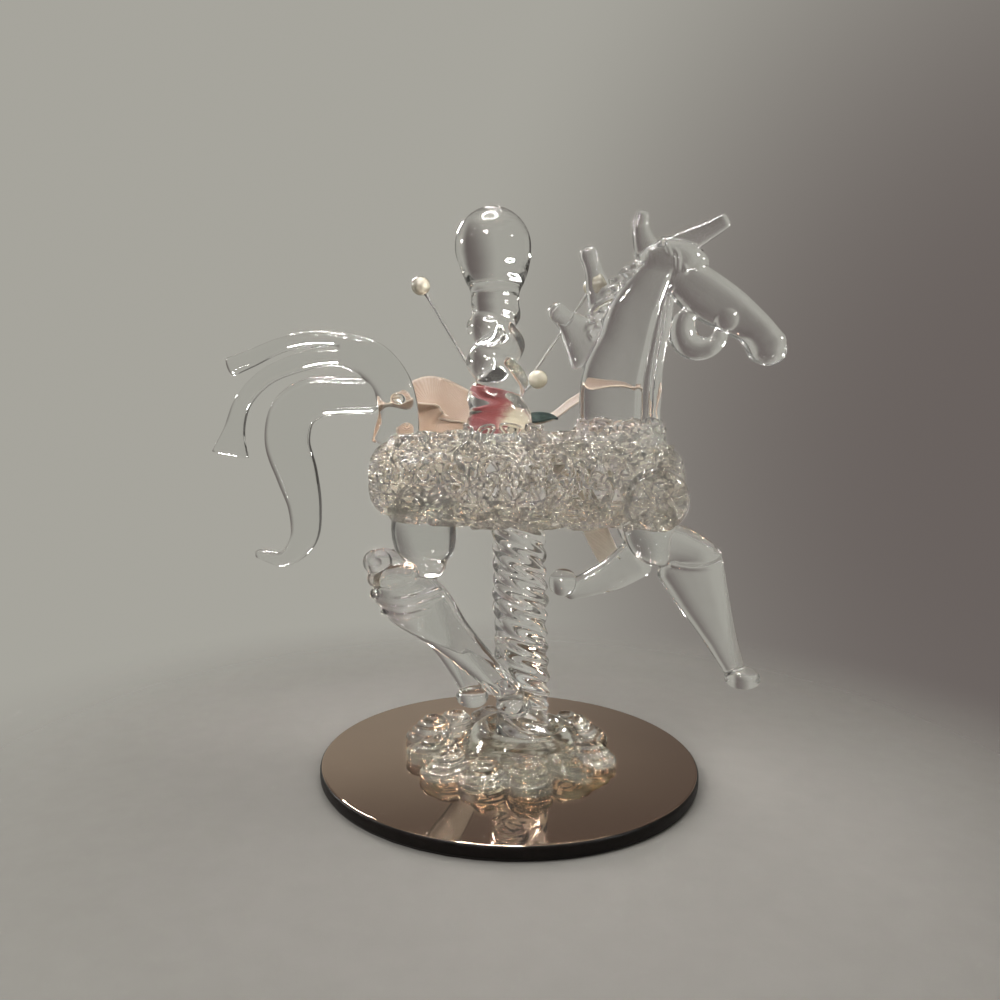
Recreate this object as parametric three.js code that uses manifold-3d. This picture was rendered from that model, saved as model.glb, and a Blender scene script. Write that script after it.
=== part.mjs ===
// Carousel horse figurine of lampworked clear glass on a round tinted mirror, with a ribbon bow.
// Millimetres, +Z up. The origin is the centre of the mirror's underside, +X points towards the
// horse's head and +Y towards the far side of the horse, where the bow is tied.
import * as THREE from 'three';
import { mergeVertices } from 'three/addons/utils/BufferGeometryUtils.js';
import Module from 'manifold-3d';

const wasm = await Module();
wasm.setup();

// Clearance that every glass piece keeps to the piece it is fused to
const seatGap = 0.3;

// Mirror
const mirrorDiameter = 61;
const mirrorGlassThickness = 2;
const mirrorBackingThickness = 0.2;
const mirrorBevel = 0.35;

// Foot of the pole and the ring of curls around it
const footRimDiameter = 17.6;
const footBeadDiameter = 1.8;
const footHeight = 4.5;
const footWellDepth = 2.2;
const footForward = 2.4;
const nestCurls = 6;
const nestPilesPerCurl = 2;
const nestLoopsPerPile = 2;
const nestThreadDiameter = 1.4;
const nestOuterDiameter = 37.6;
const nestHeight = 5.2;
const nestPileTaper = 0.45;

// Lower pole, with twisted ribs
const lowerPoleDiameter = 9.1;
const lowerPoleHeight = 35;
const lowerPoleRibs = 5;
const lowerPoleRibDepth = 0.6;
const lowerPoleLead = 14.7;
const lowerPoleLean = 2.2;

// Upper pole, a corkscrew that stands on a collar and carries a ball
const collarDiameter = 10.6;
const collarHeight = 4;
const upperPoleHeight = 19;
const upperPoleFootDiameter = 9;
const upperPoleTopDiameter = 7.6;
const upperPoleLead = 5.9;
const upperPoleThrow = 0.55;
const upperPoleStartTurn = 0.8;
const upperPoleLean = 4.4;
const upperPoleSetBack = 2;
const ballDiameter = 12.5;
const ballNeckLength = 6.5;

// Barrel of looped glass thread
const barrelLength = 50.9;
const barrelHeight = 15.6;
const barrelDepth = 15;
const barrelForward = 2.05;
const threadDiameter = 0.9;
const panelRows = 3;
const panelWaves = 6;

// Neck, head and ears
const neckSetIn = 10.25;
const neckHeight = 26.4;
const neckLean = 5.6;
const neckBaseWidth = 13;
const neckTopWidth = 5.8;
const neckThickness = 4.8;
const neckFluteDepth = 0.16;
const headLength = 18.4;
const headDroop = 37;
const headWidth = 7.2;
const headThickness = 4.4;
const cheekDiameter = 8.6;
const cheekThickness = 3.2;
const forelockLength = 8.4;
const forelockThickness = 4.6;
const forwardEarLength = 8.6;
const forwardEarWidth = 2.4;
const uprightEarLength = 5.4;
const uprightEarWidth = 2.8;

// Mane
const lowerLockLength = 9;
const lowerLockBase = 8.8;
const upperLockLength = 8;
const upperLockBase = 4.6;
const maneLockTip = 2.5;
const maneThickness = 2.2;
const crestDiameter = 1.9;

// Tail
const tailSetIn = 4.2;
const tailRootWidth = 6.6;
const tailRootThickness = 4.4;
const tailRise = 14.5;
const tailReach = 25;
const tailDrop = 32;
const tailThickness = 2.8;
const upperTailWidth = 2.3;
const middleTailWidth = 2.5;
const lowerTailWidth = 6.8;

// Legs
const legSpread = 4.6;
const thighWidth = 9.6;
const thighThickness = 5.8;
const hipSetIn = 8.15;
const hockDiameter = 4.8;
const nearHockReach = 5.1;
const farHockReach = 7.3;
const hindCannonWidth = 8.6;
const hindFetlockWidth = 3.8;
const hindFetlockThickness = 2.8;
const nearHindHoofLift = 3;
const farHindHoofLift = 0.4;
const nearHindHoofBack = 1.4;
const farHindHoofBack = 8.5;
const hoofDiameter = 5.6;
const hoofHeight = 3.6;
const shoulderSetIn = 5.25;
const foreUpperLength = 8.4;
const foreUpperWidth = 7.4;
const foreUpperThickness = 5.2;
const nearForearmLength = 18;
const nearForearmLean = 24;
const nearForearmWidth = 11;
const farForearmLength = 13;
const farForearmWidth = 6.4;
const foreFetlockWidth = 3.4;
const forearmThickness = 4.4;

// Bow, rose, leaf and pearl sprays
const ribbonThickness = 0.4;
const loopRibbonWidth = 9.6;
const tailRibbonWidth = 4.4;
const rumpRibbonWidth = 8.4;
const knotWidth = 5.2;
const knotHeight = 1.6;
const knotDepth = 3.6;
const leftLoopReach = 13.6;
const rightLoopReach = 23;
const loopDepth = 3.4;
const shoulderTailForward = 17.4;
const shoulderTailDrop = 22;
const rumpTailBack = 22.2;
const rumpTailDrop = 12;
const roseDiameter = 7.4;
const roseHeight = 4.4;
const roseTurns = 2.5;
const leafLength = 7.2;
const leafWidth = 2.8;
const leafThickness = 0.6;
const pearlDiameter = 3.3;
const stemDiameter = 0.5;
const tailSprayReach = 11.4;
const tailSprayRise = 18.4;
const shortSprayReach = 2.7;
const shortSprayRise = 2.4;
const headSprayReach = 12.7;
const headSprayRise = 19.1;

// Levels and places that follow from the sizes above
const mirrorTop = mirrorBackingThickness + mirrorGlassThickness;
const footTop = mirrorTop + footHeight;
const footFloor = footTop - footWellDepth;
const barrelBottom = footFloor + lowerPoleHeight;
const barrelTop = barrelBottom + barrelHeight;
const barrelMiddle = (barrelBottom + barrelTop) / 2;
const nestTop = mirrorTop + seatGap + nestHeight;
const hoofFloor = Math.max(footTop, nestTop);
const rumpX = barrelForward - barrelLength / 2;
const chestX = barrelForward + barrelLength / 2;
const bury = threadDiameter * 2.5;

const vec = (x, y, z) => new THREE.Vector3(x, y, z);
const mix = THREE.MathUtils.lerp;
const slope = (degrees) => Math.tan(THREE.MathUtils.degToRad(degrees));
const acrossBody = vec(0, 1, 0);
const upright = vec(0, 0, 1);
const fullTurn = Math.PI * 2;

// A closed skin over a row of rings of equal point counts. An open row gets a fan on each end.
function skin(rings, closed = false) {
  const sides = rings[0].length;
  const points = rings.flat();
  const index = [];
  const last = closed ? rings.length : rings.length - 1;
  for (let row = 0; row < last; row++) {
    const next = ((row + 1) % rings.length) * sides;
    for (let side = 0; side < sides; side++) {
      const turn = (side + 1) % sides;
      const here = row * sides;
      index.push(here + side, here + turn, next + turn, here + side, next + turn, next + side);
    }
  }
  const fan = (ring, start, reversed) => {
    const hub = ring.reduce((sum, point) => sum.add(point), vec(0, 0, 0)).divideScalar(sides);
    points.push(hub);
    for (let side = 0; side < sides; side++) {
      const pair = [start + side, start + (side + 1) % sides];
      index.push(points.length - 1, ...(reversed ? pair.reverse() : pair));
    }
  };
  if (!closed) {
    fan(rings[0], 0, true);
    fan(rings.at(-1), (rings.length - 1) * sides, false);
  }
  const geometry = new THREE.BufferGeometry().setFromPoints(points);
  geometry.setIndex(index);
  return geometry;
}

// A rounded limb along a curve, with its own width in the curve's plane and depth across it.
// Its ends are domes, or flat where a dome is 0, and grow makes the limb larger all round.
function limb({ path, width, depth, steps = 7, sides = 8, plane = acrossBody, startDome = 0.7,
  endDome = 0.7, relief = () => 1, grow = 0 }) {
  const curve = new THREE.CatmullRomCurve3(path, false, 'centripetal');
  const sizes = new THREE.CatmullRomCurve3(width.map((w, i) => vec(w / 2, depth[i] / 2, 0)), false,
    'catmullrom');
  const ring = (t, shift, scale) => {
    const along = curve.getTangent(t);
    const normal = vec(0, 0, 0).crossVectors(plane, along).normalize();
    const across = vec(0, 0, 0).crossVectors(along, normal);
    const centre = curve.getPoint(t).addScaledVector(along, shift);
    const size = sizes.getPoint(t);
    return Array.from({ length: sides }, (_, side) => {
      const angle = fullTurn * side / sides;
      const out = (size.x + grow) * scale * Math.cos(angle);
      const deep = (size.y + grow) * scale * Math.sin(angle) * relief(angle, t);
      return centre.clone().addScaledVector(normal, out).addScaledVector(across, deep);
    });
  };
  const dome = (t, roundness) => {
    const size = sizes.getPoint(t);
    return roundness === 0 ? grow : roundness * Math.min(size.x, size.y) + grow;
  };
  const domeAngles = [THREE.MathUtils.degToRad(66), THREE.MathUtils.degToRad(34)];
  const rings = [];
  const startLength = dome(0, startDome);
  const endLength = dome(1, endDome);
  if (startDome > 0) {
    domeAngles.forEach((a) => rings.push(ring(0, -startLength * Math.sin(a), Math.cos(a))));
  }
  rings.push(ring(0, startDome > 0 ? 0 : -startLength, 1));
  for (let step = 1; step < steps; step++) rings.push(ring(step / steps, 0, 1));
  rings.push(ring(1, endDome > 0 ? 0 : endLength, 1));
  if (endDome > 0) {
    domeAngles.slice().reverse().forEach((a) => rings.push(ring(1, endLength * Math.sin(a), Math.cos(a))));
  }
  return solid(skin(rings));
}

// A round thread through points, with a reference direction at each point to hang its sides on.
function thread(points, references, diameter, sides, closed = false) {
  const count = points.length;
  const rings = points.map((point, i) => {
    const before = points[closed ? (i + count - 1) % count : Math.max(i - 1, 0)];
    const after = points[closed ? (i + 1) % count : Math.min(i + 1, count - 1)];
    const along = after.clone().sub(before).normalize();
    const normal = references[i].clone().addScaledVector(along, -references[i].dot(along)).normalize();
    const across = vec(0, 0, 0).crossVectors(along, normal);
    return Array.from({ length: sides }, (_, side) => {
      const angle = fullTurn * side / sides;
      return point.clone().addScaledVector(normal, Math.cos(angle) * diameter / 2)
        .addScaledVector(across, Math.sin(angle) * diameter / 2);
    });
  });
  return skin(rings, closed);
}

// A flat strip along a curve, with its width pointing along upwards.
function strip({ path, width, upwards, steps = 16, thickness = ribbonThickness }) {
  const curve = new THREE.CatmullRomCurve3(path, false, 'centripetal');
  const widths = new THREE.CatmullRomCurve3(width.map((w) => vec(w / 2, 0, 0)), false, 'catmullrom');
  const rings = Array.from({ length: steps + 1 }, (_, step) => {
    const t = step / steps;
    const along = curve.getTangent(t);
    const rise = upwards.clone().addScaledVector(along, -upwards.dot(along)).normalize();
    const face = vec(0, 0, 0).crossVectors(along, rise).multiplyScalar(thickness / 2);
    rise.multiplyScalar(widths.getPoint(t).x);
    const corners = [[1, 1], [-1, 1], [-1, -1], [1, -1]];
    return corners.map(([a, b]) => curve.getPoint(t).addScaledVector(rise, a).addScaledVector(face, b));
  });
  return solid(skin(rings));
}

// A solid of revolution about Z from radius and height pairs that start and end on the axis.
function turned(profile, segments) {
  const points = profile.map(([radius, height]) => new THREE.Vector2(radius, height));
  return new THREE.LatheGeometry(points, segments).rotateX(Math.PI / 2);
}

// A ball with its own size along each axis.
function ellipsoid(centre, sizeX, sizeY, sizeZ, sides, rings) {
  return solid(new THREE.SphereGeometry(0.5, sides, rings).rotateX(Math.PI / 2)
    .scale(sizeX, sizeY, sizeZ).translate(centre.x, centre.y, centre.z));
}

// A geometry as a solid that can be joined and cut, with its faces pointing out.
function solid(geometry) {
  const bare = geometry.clone();
  bare.deleteAttribute('normal');
  bare.deleteAttribute('uv');
  const merged = mergeVertices(bare, 1e-4);
  const triangles = Array.from(merged.index.array);
  const position = merged.attributes.position;
  const kept = [];
  for (let i = 0; i < triangles.length; i += 3) {
    const [a, b, c] = triangles.slice(i, i + 3);
    if (a !== b && b !== c && c !== a) kept.push(a, b, c);
  }
  const corner = (i) => vec(0, 0, 0).fromBufferAttribute(position, i);
  let volume = 0;
  for (let i = 0; i < kept.length; i += 3) {
    volume += corner(kept[i]).dot(corner(kept[i + 1]).cross(corner(kept[i + 2])));
  }
  if (volume < 0) kept.reverse();
  const mesh = new wasm.Mesh({ numProp: 3, vertProperties: new Float32Array(position.array),
    triVerts: Uint32Array.from(kept) });
  return new wasm.Manifold(mesh);
}

const joined = (solids) => solids.reduce((sum, next) => sum.add(next));
const cut = (shape, ...tools) => tools.reduce((rest, tool) => rest.subtract(tool), shape);

// The largest piece of a solid, for a cut that leaves slivers behind.
function largest(shape) {
  return shape.decompose().reduce((best, next) => (next.volume() > best.volume() ? next : best));
}

// A solid back as a geometry with flat facets.
function facets(shape) {
  const mesh = shape.getMesh();
  const geometry = new THREE.BufferGeometry();
  geometry.setAttribute('position', new THREE.BufferAttribute(new Float32Array(mesh.vertProperties), 3));
  geometry.setIndex(Array.from(mesh.triVerts));
  geometry.computeVertexNormals();
  return geometry;
}

// Finishes
const finish = (color, roughness, metalness = 0) => ({ color, roughness, metalness });
const clearGlass = finish(0xe4e9e6, 0.04);
const roseMirror = finish(0x8c6f66, 0.06, 0.6);
const darkBacking = finish(0x241f1e, 0.6);
const peachSatin = finish(0xe9c3a8, 0.42);
const creamSatin = finish(0xd8cfae, 0.5);
const redSatin = finish(0xb23440, 0.45);
const leafGreen = finish(0x1f3a2c, 0.55);
const pearlCream = finish(0xeae2cc, 0.22);
const wireWhite = finish(0xdad8d2, 0.35, 0.3);

const figurine = new THREE.Group();
function add(name, shape, look) {
  const mesh = new THREE.Mesh(facets(shape), new THREE.MeshStandardMaterial(look));
  mesh.name = name;
  figurine.add(mesh);
}

// Mirror plate with bevelled edges on a thin dark backing
const mirrorRadius = mirrorDiameter / 2;
add('mirror_glass', solid(turned([[0, mirrorBackingThickness],
  [mirrorRadius - mirrorBevel, mirrorBackingThickness],
  [mirrorRadius, mirrorBackingThickness + mirrorBevel],
  [mirrorRadius, mirrorTop - mirrorBevel],
  [mirrorRadius - mirrorBevel, mirrorTop], [0, mirrorTop]], 48)), roseMirror);
const backingRadius = mirrorRadius - mirrorBevel;
add('mirror_backing', solid(turned([[0, 0], [backingRadius, 0], [backingRadius, mirrorBackingThickness],
  [0, mirrorBackingThickness]], 48)), darkBacking);

// Clear dish that the pole stands in, with a rolled rim
const footRimRadius = footRimDiameter / 2;
const beadRadius = footBeadDiameter / 2;
const beadSteps = 5;
const footBead = Array.from({ length: beadSteps + 1 }, (_, i) => {
  const angle = mix(-0.25, 1.1, i / beadSteps) * Math.PI;
  return [footRimRadius - beadRadius + beadRadius * Math.cos(angle),
    footTop - beadRadius + beadRadius * Math.sin(angle)];
});
const footBase = footRimRadius - footBeadDiameter;
const footDish = solid(turned([[0, mirrorTop], [footBase, mirrorTop], ...footBead,
  [lowerPoleDiameter / 2 + seatGap, footFloor], [0, footFloor]], 24))
  .translate([footForward, 0, 0]);
add('pole_foot', footDish, clearGlass);

// Ring of scalloped curls around the foot. Each curl is one thread that winds down one pile of loops and up
// the next, and each pile narrows as it rises.
const nestInner = footRimRadius + seatGap;
const nestOuter = nestOuterDiameter / 2;
const pileArc = fullTurn / nestCurls / nestPilesPerCurl;
const pileGap = nestThreadDiameter + seatGap * 2;
const loopSteps = 11;
// A point of the nest: reach runs from 0 beside the foot to 1 at the outer rim
function nestPoint(bearing, reach, rise) {
  const outward = vec(Math.cos(bearing), Math.sin(bearing), 0);
  const inside = outward.clone().multiplyScalar(nestInner + nestThreadDiameter / 2);
  inside.add(vec(footForward, 0, 0));
  const outside = outward.clone().multiplyScalar(nestOuter - nestThreadDiameter / 2);
  const low = mirrorTop + seatGap + nestThreadDiameter / 2;
  return inside.lerp(outside, reach).setZ(low + (nestHeight - nestThreadDiameter) * rise);
}
function nestCurl(curl) {
  const points = [];
  const steps = nestLoopsPerPile * loopSteps;
  const firstBearing = pileArc * (nestPilesPerCurl * curl + 0.5);
  const wind = (pile, step) => {
    const rise = step / steps;
    const size = 1 - nestPileTaper * rise;
    const turn = Math.PI + (pile === 0 ? 1 : -1) * fullTurn * nestLoopsPerPile * rise;
    const middle = firstBearing + pileArc * pile;
    const breadth = pileArc / 2 - pileGap / 2 / nestPoint(middle, 0.5, 0).setZ(0).length();
    points.push(nestPoint(middle + breadth * size * Math.sin(turn), (1 + size * Math.cos(turn)) / 2, rise));
  };
  for (let step = steps; step >= 0; step--) wind(0, step);
  for (const share of [0.25, 0.5, 0.75]) points.push(nestPoint(firstBearing + pileArc * share, 0, 0));
  for (let step = 0; step <= steps; step++) wind(1, step);
  return { points, references: points.map(() => upright) };
}
// Least gap of a wound thread to itself, between points more than half a loop apart
function leastGap(points, diameter) {
  let least = Infinity;
  for (let a = 0; a < points.length; a++) {
    for (let b = a + Math.ceil(loopSteps / 2); b < points.length; b++) {
      least = Math.min(least, points[a].distanceTo(points[b]) - diameter);
    }
  }
  return least;
}
for (let curl = 0; curl < nestCurls; curl++) {
  const { points, references } = nestCurl(curl);
  if (curl === 0) console.log(`nest curl least gap ${leastGap(points, nestThreadDiameter).toFixed(2)} mm`);
  add(`nest_curl_${curl + 1}`, solid(thread(points, references, nestThreadDiameter, 5)), clearGlass);
}

// Outer shape of the barrel, which is the outside of its threads
const endBluntness = 4;
const sectionSquareness = 2.6;
const blunt = (share) => (1 - Math.abs(share) ** endBluntness) ** (1 / endBluntness);
function sectionPoint(x, share, turn, inset) {
  const round = (value) => Math.sign(value) * Math.abs(value) ** (2 / sectionSquareness);
  return vec(x, -(barrelDepth / 2 - inset) * share * round(Math.sin(turn)),
    barrelMiddle + (barrelHeight / 2 - inset) * share * round(Math.cos(turn)));
}
function barrel(grow) {
  const sides = 28;
  const shares = [0.3, 0.6, 0.8, 0.92, 1];
  const ends = [...shares, ...shares.slice().reverse()];
  const rings = ends.map((share, i) => {
    const end = i < shares.length ? -1 : 1;
    const x = barrelForward + end * (barrelLength / 2 + grow) * blunt(share * 0.999);
    return Array.from({ length: sides }, (_, side) => {
      return sectionPoint(x, share, -fullTurn * side / sides, -grow);
    });
  });
  return solid(skin(rings));
}
const barrelSeat = barrel(seatGap);

// Open panels of wavy glass thread that touch at their crests
const panelTurn = THREE.MathUtils.degToRad(80);
const panelReach = 0.86;
function panel(middleTurn) {
  const rowTurn = panelTurn / panelRows;
  const waveSteps = 4;
  const steps = panelWaves * waveSteps;
  const rows = Array.from({ length: panelRows }, (_, row) => {
    const points = [];
    for (let step = 0; step <= steps; step++) {
      const share = mix(-panelReach, panelReach, step / steps);
      const wave = Math.cos(fullTurn * step / waveSteps + Math.PI * row);
      const turn = middleTurn + (row - (panelRows - 1) / 2) * rowTurn + wave * rowTurn * 0.49;
      const x = barrelForward + share * (barrelLength - threadDiameter) / 2;
      points.push(sectionPoint(x, blunt(share), turn, threadDiameter / 2));
    }
    const axis = points.map((point) => vec(0, point.y, point.z - barrelMiddle));
    return solid(thread(points, axis, threadDiameter, 4));
  });
  return joined(rows);
}
add('lattice_back', panel(0), clearGlass);
add('lattice_near_side', panel(Math.PI / 2), clearGlass);
add('lattice_belly', panel(Math.PI), clearGlass);
add('lattice_far_side', panel(-Math.PI / 2), clearGlass);

// Rosettes of wavy rings that close the barrel's two ends. Their crests meet the ends of the panels.
function rosette(end) {
  const waves = 8;
  const sway = 0.11;
  const steps = waves * 4;
  const firstCrest = -panelTurn / panelRows * 0.44;
  const threads = [0.66, 0.41].map((share, ring) => {
    const points = Array.from({ length: steps }, (_, step) => {
      const turn = firstCrest + fullTurn * step / steps;
      const size = share + sway * Math.cos(fullTurn * step * waves / steps + Math.PI * ring);
      const x = barrelForward + end * (barrelLength - threadDiameter) / 2 * blunt(size);
      return sectionPoint(x, size, turn, threadDiameter / 2);
    });
    return solid(thread(points, points.map(() => vec(end, 0, 0)), threadDiameter, 4, true));
  });
  return joined(threads);
}
add('lattice_chest', rosette(1), clearGlass);
add('lattice_rump', rosette(-1), clearGlass);

// Lower pole with ribs that turn as they rise
const lowerPoleX = (z) => footForward - (z - footFloor) * slope(lowerPoleLean);
function lowerPole() {
  const sides = lowerPoleRibs * 3;
  const steps = 24;
  const bottom = footFloor + seatGap;
  const rings = Array.from({ length: steps + 1 }, (_, step) => {
    const z = mix(bottom, barrelBottom + bury, step / steps);
    return Array.from({ length: sides }, (__, side) => {
      const angle = fullTurn * (side / sides - (z - bottom) / lowerPoleLead);
      const rib = Math.cos(fullTurn * lowerPoleRibs * side / sides);
      const radius = lowerPoleDiameter / 2 - lowerPoleRibDepth / 2 * (1 - rib);
      return vec(lowerPoleX(z) + radius * Math.cos(angle), radius * Math.sin(angle), z);
    });
  });
  return solid(skin(rings));
}
add('lower_pole', cut(lowerPole(), barrelSeat), clearGlass);

// Upper pole: a flared collar on the back, a corkscrew and a ball
const upperFootX = lowerPoleX(barrelTop) - upperPoleSetBack;
const upperPoleX = (z) => upperFootX - (z - barrelTop) * slope(upperPoleLean);
const collarTop = barrelTop + seatGap + collarHeight;
const upperPoleTop = collarTop + upperPoleHeight;
function collar(grow) {
  const rim = collarDiameter / 2 + grow;
  const top = (upperPoleFootDiameter + collarDiameter) / 4 + grow;
  return solid(turned([[0, barrelTop - bury], [rim * 0.96, barrelTop - bury],
    [rim, barrelTop + collarHeight * 0.3], [rim * 0.97, barrelTop + collarHeight * 0.6],
    [top, collarTop - collarHeight * 0.1], [top * 0.8, collarTop + grow], [0, collarTop + grow]], 20))
    .translate([upperPoleX(barrelTop), 0, 0]);
}
function upperPole() {
  const sides = 12;
  const steps = 24;
  const rings = Array.from({ length: steps + 1 }, (_, step) => {
    const t = step / steps;
    const z = mix(collarTop - seatGap, upperPoleTop + ballDiameter / 4, t);
    const phase = fullTurn * (upperPoleStartTurn - (z - collarTop) / upperPoleLead);
    const radius = mix(upperPoleFootDiameter, upperPoleTopDiameter, t) / 2;
    const throwX = upperPoleThrow * Math.cos(phase);
    const throwY = upperPoleThrow * Math.sin(phase);
    const centre = vec(upperPoleX(z) + throwX, throwY, z);
    return Array.from({ length: sides }, (__, side) => {
      const angle = fullTurn * side / sides;
      return centre.clone().add(vec(radius * Math.cos(angle), radius * Math.sin(angle), 0));
    });
  });
  return solid(skin(rings));
}
const ballZ = upperPoleTop + ballDiameter / 2;
const ballCentre = vec(upperPoleX(ballZ), 0, ballZ);
// The ball is drawn down into the pole like a pear
function ball(grow) {
  const neckZ = ballZ - ballNeckLength - grow;
  const flankZ = ballZ - ballDiameter * 0.28;
  const drawn = turned([[0, neckZ], [ballDiameter * 0.36 + grow, neckZ], [ballDiameter * 0.43 + grow, flankZ],
    [0, flankZ]], 16).translate(upperPoleX(flankZ), 0, 0);
  const round = ballDiameter + 2 * grow;
  return ellipsoid(ballCentre, round, round, round, 16, 10).add(solid(drawn));
}
add('upper_pole_collar', cut(collar(0), barrelSeat), clearGlass);
add('upper_pole', cut(upperPole(), collar(seatGap), ball(seatGap)), clearGlass);
add('finial_ball', ball(0), clearGlass);

// Neck: a flat paddle with three flutes, which narrows as it leans forward
const neckX = chestX - neckSetIn;
const neckTop = barrelTop + neckHeight;
function neck(grow) {
  const leanShare = [0, 0, 0.02, 0.3, 0.5, 0.76, 1];
  const riseShare = [-bury / neckHeight, 0.03, 0.33, 0.53, 0.71, 0.88, 1];
  const widthShare = [1, 1, 1.02, 0.75, 0.64, 0.3, 0];
  const count = riseShare.length;
  return limb({
    path: riseShare.map((rise, i) => vec(neckX + neckLean * leanShare[i], 0,
      barrelTop + neckHeight * rise)),
    width: widthShare.map((share) => mix(neckTopWidth, neckBaseWidth, share)),
    depth: Array.from({ length: count }, () => neckThickness),
    steps: 10,
    sides: 16,
    startDome: 0,
    relief: (angle) => 1 + neckFluteDepth * Math.cos(3 * Math.PI * Math.cos(angle)) - neckFluteDepth,
    grow,
  });
}
add('neck', cut(neck(0), barrelSeat), clearGlass);

// Head: a paddle that droops from the poll to a round muzzle
const pollX = neckX + neckLean + neckTopWidth * 0.65;
const pollZ = neckTop - neckTopWidth * 0.3;
const headAlong = vec(Math.cos(THREE.MathUtils.degToRad(headDroop)), 0,
  -Math.sin(THREE.MathUtils.degToRad(headDroop)));
const headUp = vec(-headAlong.z, 0, headAlong.x);
const onHead = (along, up) => vec(pollX, 0, pollZ).addScaledVector(headAlong, headLength * along)
  .addScaledVector(headUp, headWidth * up);
function head(grow) {
  return limb({
    path: [onHead(0, 0), onHead(0.25, 0.03), onHead(0.52, 0.04), onHead(0.78, 0.05), onHead(0.97, -0.13)],
    width: [0.9, 1.02, 0.96, 0.74, 0.86].map((share) => headWidth * share),
    depth: [1, 1.05, 0.95, 0.86, 1.05].map((share) => headThickness * share),
    steps: 9,
    grow,
  });
}
add('head', cut(head(0), neck(seatGap)), clearGlass);

// Cheek: a thick curl of glass under the head, heavier below
function cheek() {
  const centre = onHead(0.33, -0.74);
  const steps = 14;
  const sides = 8;
  const rings = Array.from({ length: steps }, (_, step) => {
    const bearing = fullTurn * step / steps;
    const outward = vec(Math.cos(bearing), 0, Math.sin(bearing));
    const heavy = 0.5 - 0.5 * Math.cos(bearing - Math.PI / 4);
    const thick = cheekThickness * mix(0.66, 1, heavy) / 2;
    const middle = centre.clone().addScaledVector(outward, cheekDiameter / 2 - thick);
    return Array.from({ length: sides }, (__, side) => {
      const angle = fullTurn * side / sides;
      return middle.clone().addScaledVector(outward, thick * Math.cos(angle))
        .addScaledVector(acrossBody, thick * Math.sin(angle));
    });
  });
  return solid(skin(rings, true));
}
add('cheek_curl', largest(cut(cheek(), head(seatGap), neck(seatGap))), clearGlass);

// Forelock: a twisted lump across the poll that both ears stand on
const forelockStart = vec(neckX + neckLean - neckTopWidth * 0.36, 0, neckTop + forelockThickness * 0.33);
const forelockEnd = forelockStart.clone().add(vec(forelockLength - forelockThickness / 2, 0,
  -forelockThickness * 0.05));
const forelockTwist = (angle, t) => 1 + 0.12 * Math.cos(4 * angle + fullTurn * 1.5 * t);
function forelock(grow) {
  return limb({
    path: [forelockStart, forelockStart.clone().lerp(forelockEnd, 0.5), forelockEnd],
    width: [0.8, 1, 0.92].map((share) => forelockThickness * share),
    depth: [0.8, 1, 0.92].map((share) => forelockThickness * share),
    steps: 6,
    sides: 10,
    relief: forelockTwist,
    grow,
  });
}
add('forelock', largest(cut(forelock(0), neck(seatGap), head(seatGap))), clearGlass);

// Ears: a long flat one that points forward and a short upright one
const forwardEarRoot = forelockStart.clone().lerp(forelockEnd, 0.5);
const earAlong = vec(0.87, 0, 0.49);
const forwardEar = limb({
  path: [0, 0.3, 0.65, 1].map((share) => forwardEarRoot.clone()
    .addScaledVector(earAlong, (forwardEarLength + forelockThickness / 2) * share)),
  width: [1.5, 1.3, 0.8, 0.68].map((share) => forwardEarWidth * share),
  depth: [0.7, 0.6, 0.5, 0.5].map((share) => forwardEarWidth * share),
  steps: 7,
});
const uprightEar = limb({
  path: [vec(0.04, 0, 0), vec(-0.1, 0, 0.45), vec(-0.16, 0, 0.75), vec(-0.22, 0, 1)].map((share) => share
    .multiplyScalar(uprightEarLength + forelockThickness / 2).add(forelockStart)),
  width: [1.5, 1.2, 0.8, 0.6].map((share) => uprightEarWidth * share),
  depth: [0.9, 0.8, 0.6, 0.5].map((share) => uprightEarWidth * share),
  steps: 7,
});
const earSeat = [forelock(seatGap), neck(seatGap), head(seatGap)];
add('ear_forward', largest(cut(forwardEar, ...earSeat)), clearGlass);
add('ear_upright', largest(cut(uprightEar, ...earSeat)), clearGlass);

// Mane: two knobbed locks that fan from the back of the neck, and a rope along the crest
const neckBackAt = (rise, leanShare, widthShare) => vec(neckX + neckLean * leanShare
  - mix(neckTopWidth, neckBaseWidth, widthShare) / 2, 0, barrelTop + neckHeight * rise);
function maneLock(root, along, length, base, grow) {
  return limb({
    path: [-0.16, 0.3, 0.62, 1].map((share) => root.clone().addScaledVector(along, length * share)),
    width: [base, mix(base, maneLockTip, 0.55), maneLockTip, maneLockTip],
    depth: [1, 0.95, 0.95, 1.1].map((share) => maneThickness * share),
    steps: 8,
    endDome: 0.9,
    grow,
  });
}
const lowerLockRoot = neckBackAt(0.5, 0.26, 0.8);
const lowerLockAlong = vec(-0.8, 0, 0.6);
const lowerLock = (grow) => maneLock(lowerLockRoot, lowerLockAlong, lowerLockLength, lowerLockBase, grow);
const upperLockRoot = neckBackAt(0.77, 0.5, 0.58);
const upperLockAlong = vec(-0.42, 0, 0.91);
const upperLock = (grow) => maneLock(upperLockRoot, upperLockAlong, upperLockLength, upperLockBase, grow);
const crestPoints = [neckBackAt(0.7, 0.48, 0.66), neckBackAt(0.86, 0.73, 0.34), neckBackAt(1, 0.94, 0.12)];
const crest = limb({
  path: crestPoints.map((point) => point.add(vec(-crestDiameter * 0.3, 0, crestDiameter * 0.3))),
  width: crestPoints.map(() => crestDiameter),
  depth: crestPoints.map(() => crestDiameter),
  steps: 12,
  sides: 8,
  relief: (angle, t) => 1 + 0.2 * Math.cos(2 * angle + fullTurn * 3 * t),
});
add('mane_lower_lock', largest(cut(lowerLock(0), neck(seatGap))), clearGlass);
add('mane_upper_lock', largest(cut(upperLock(0), neck(seatGap))), clearGlass);
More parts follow.
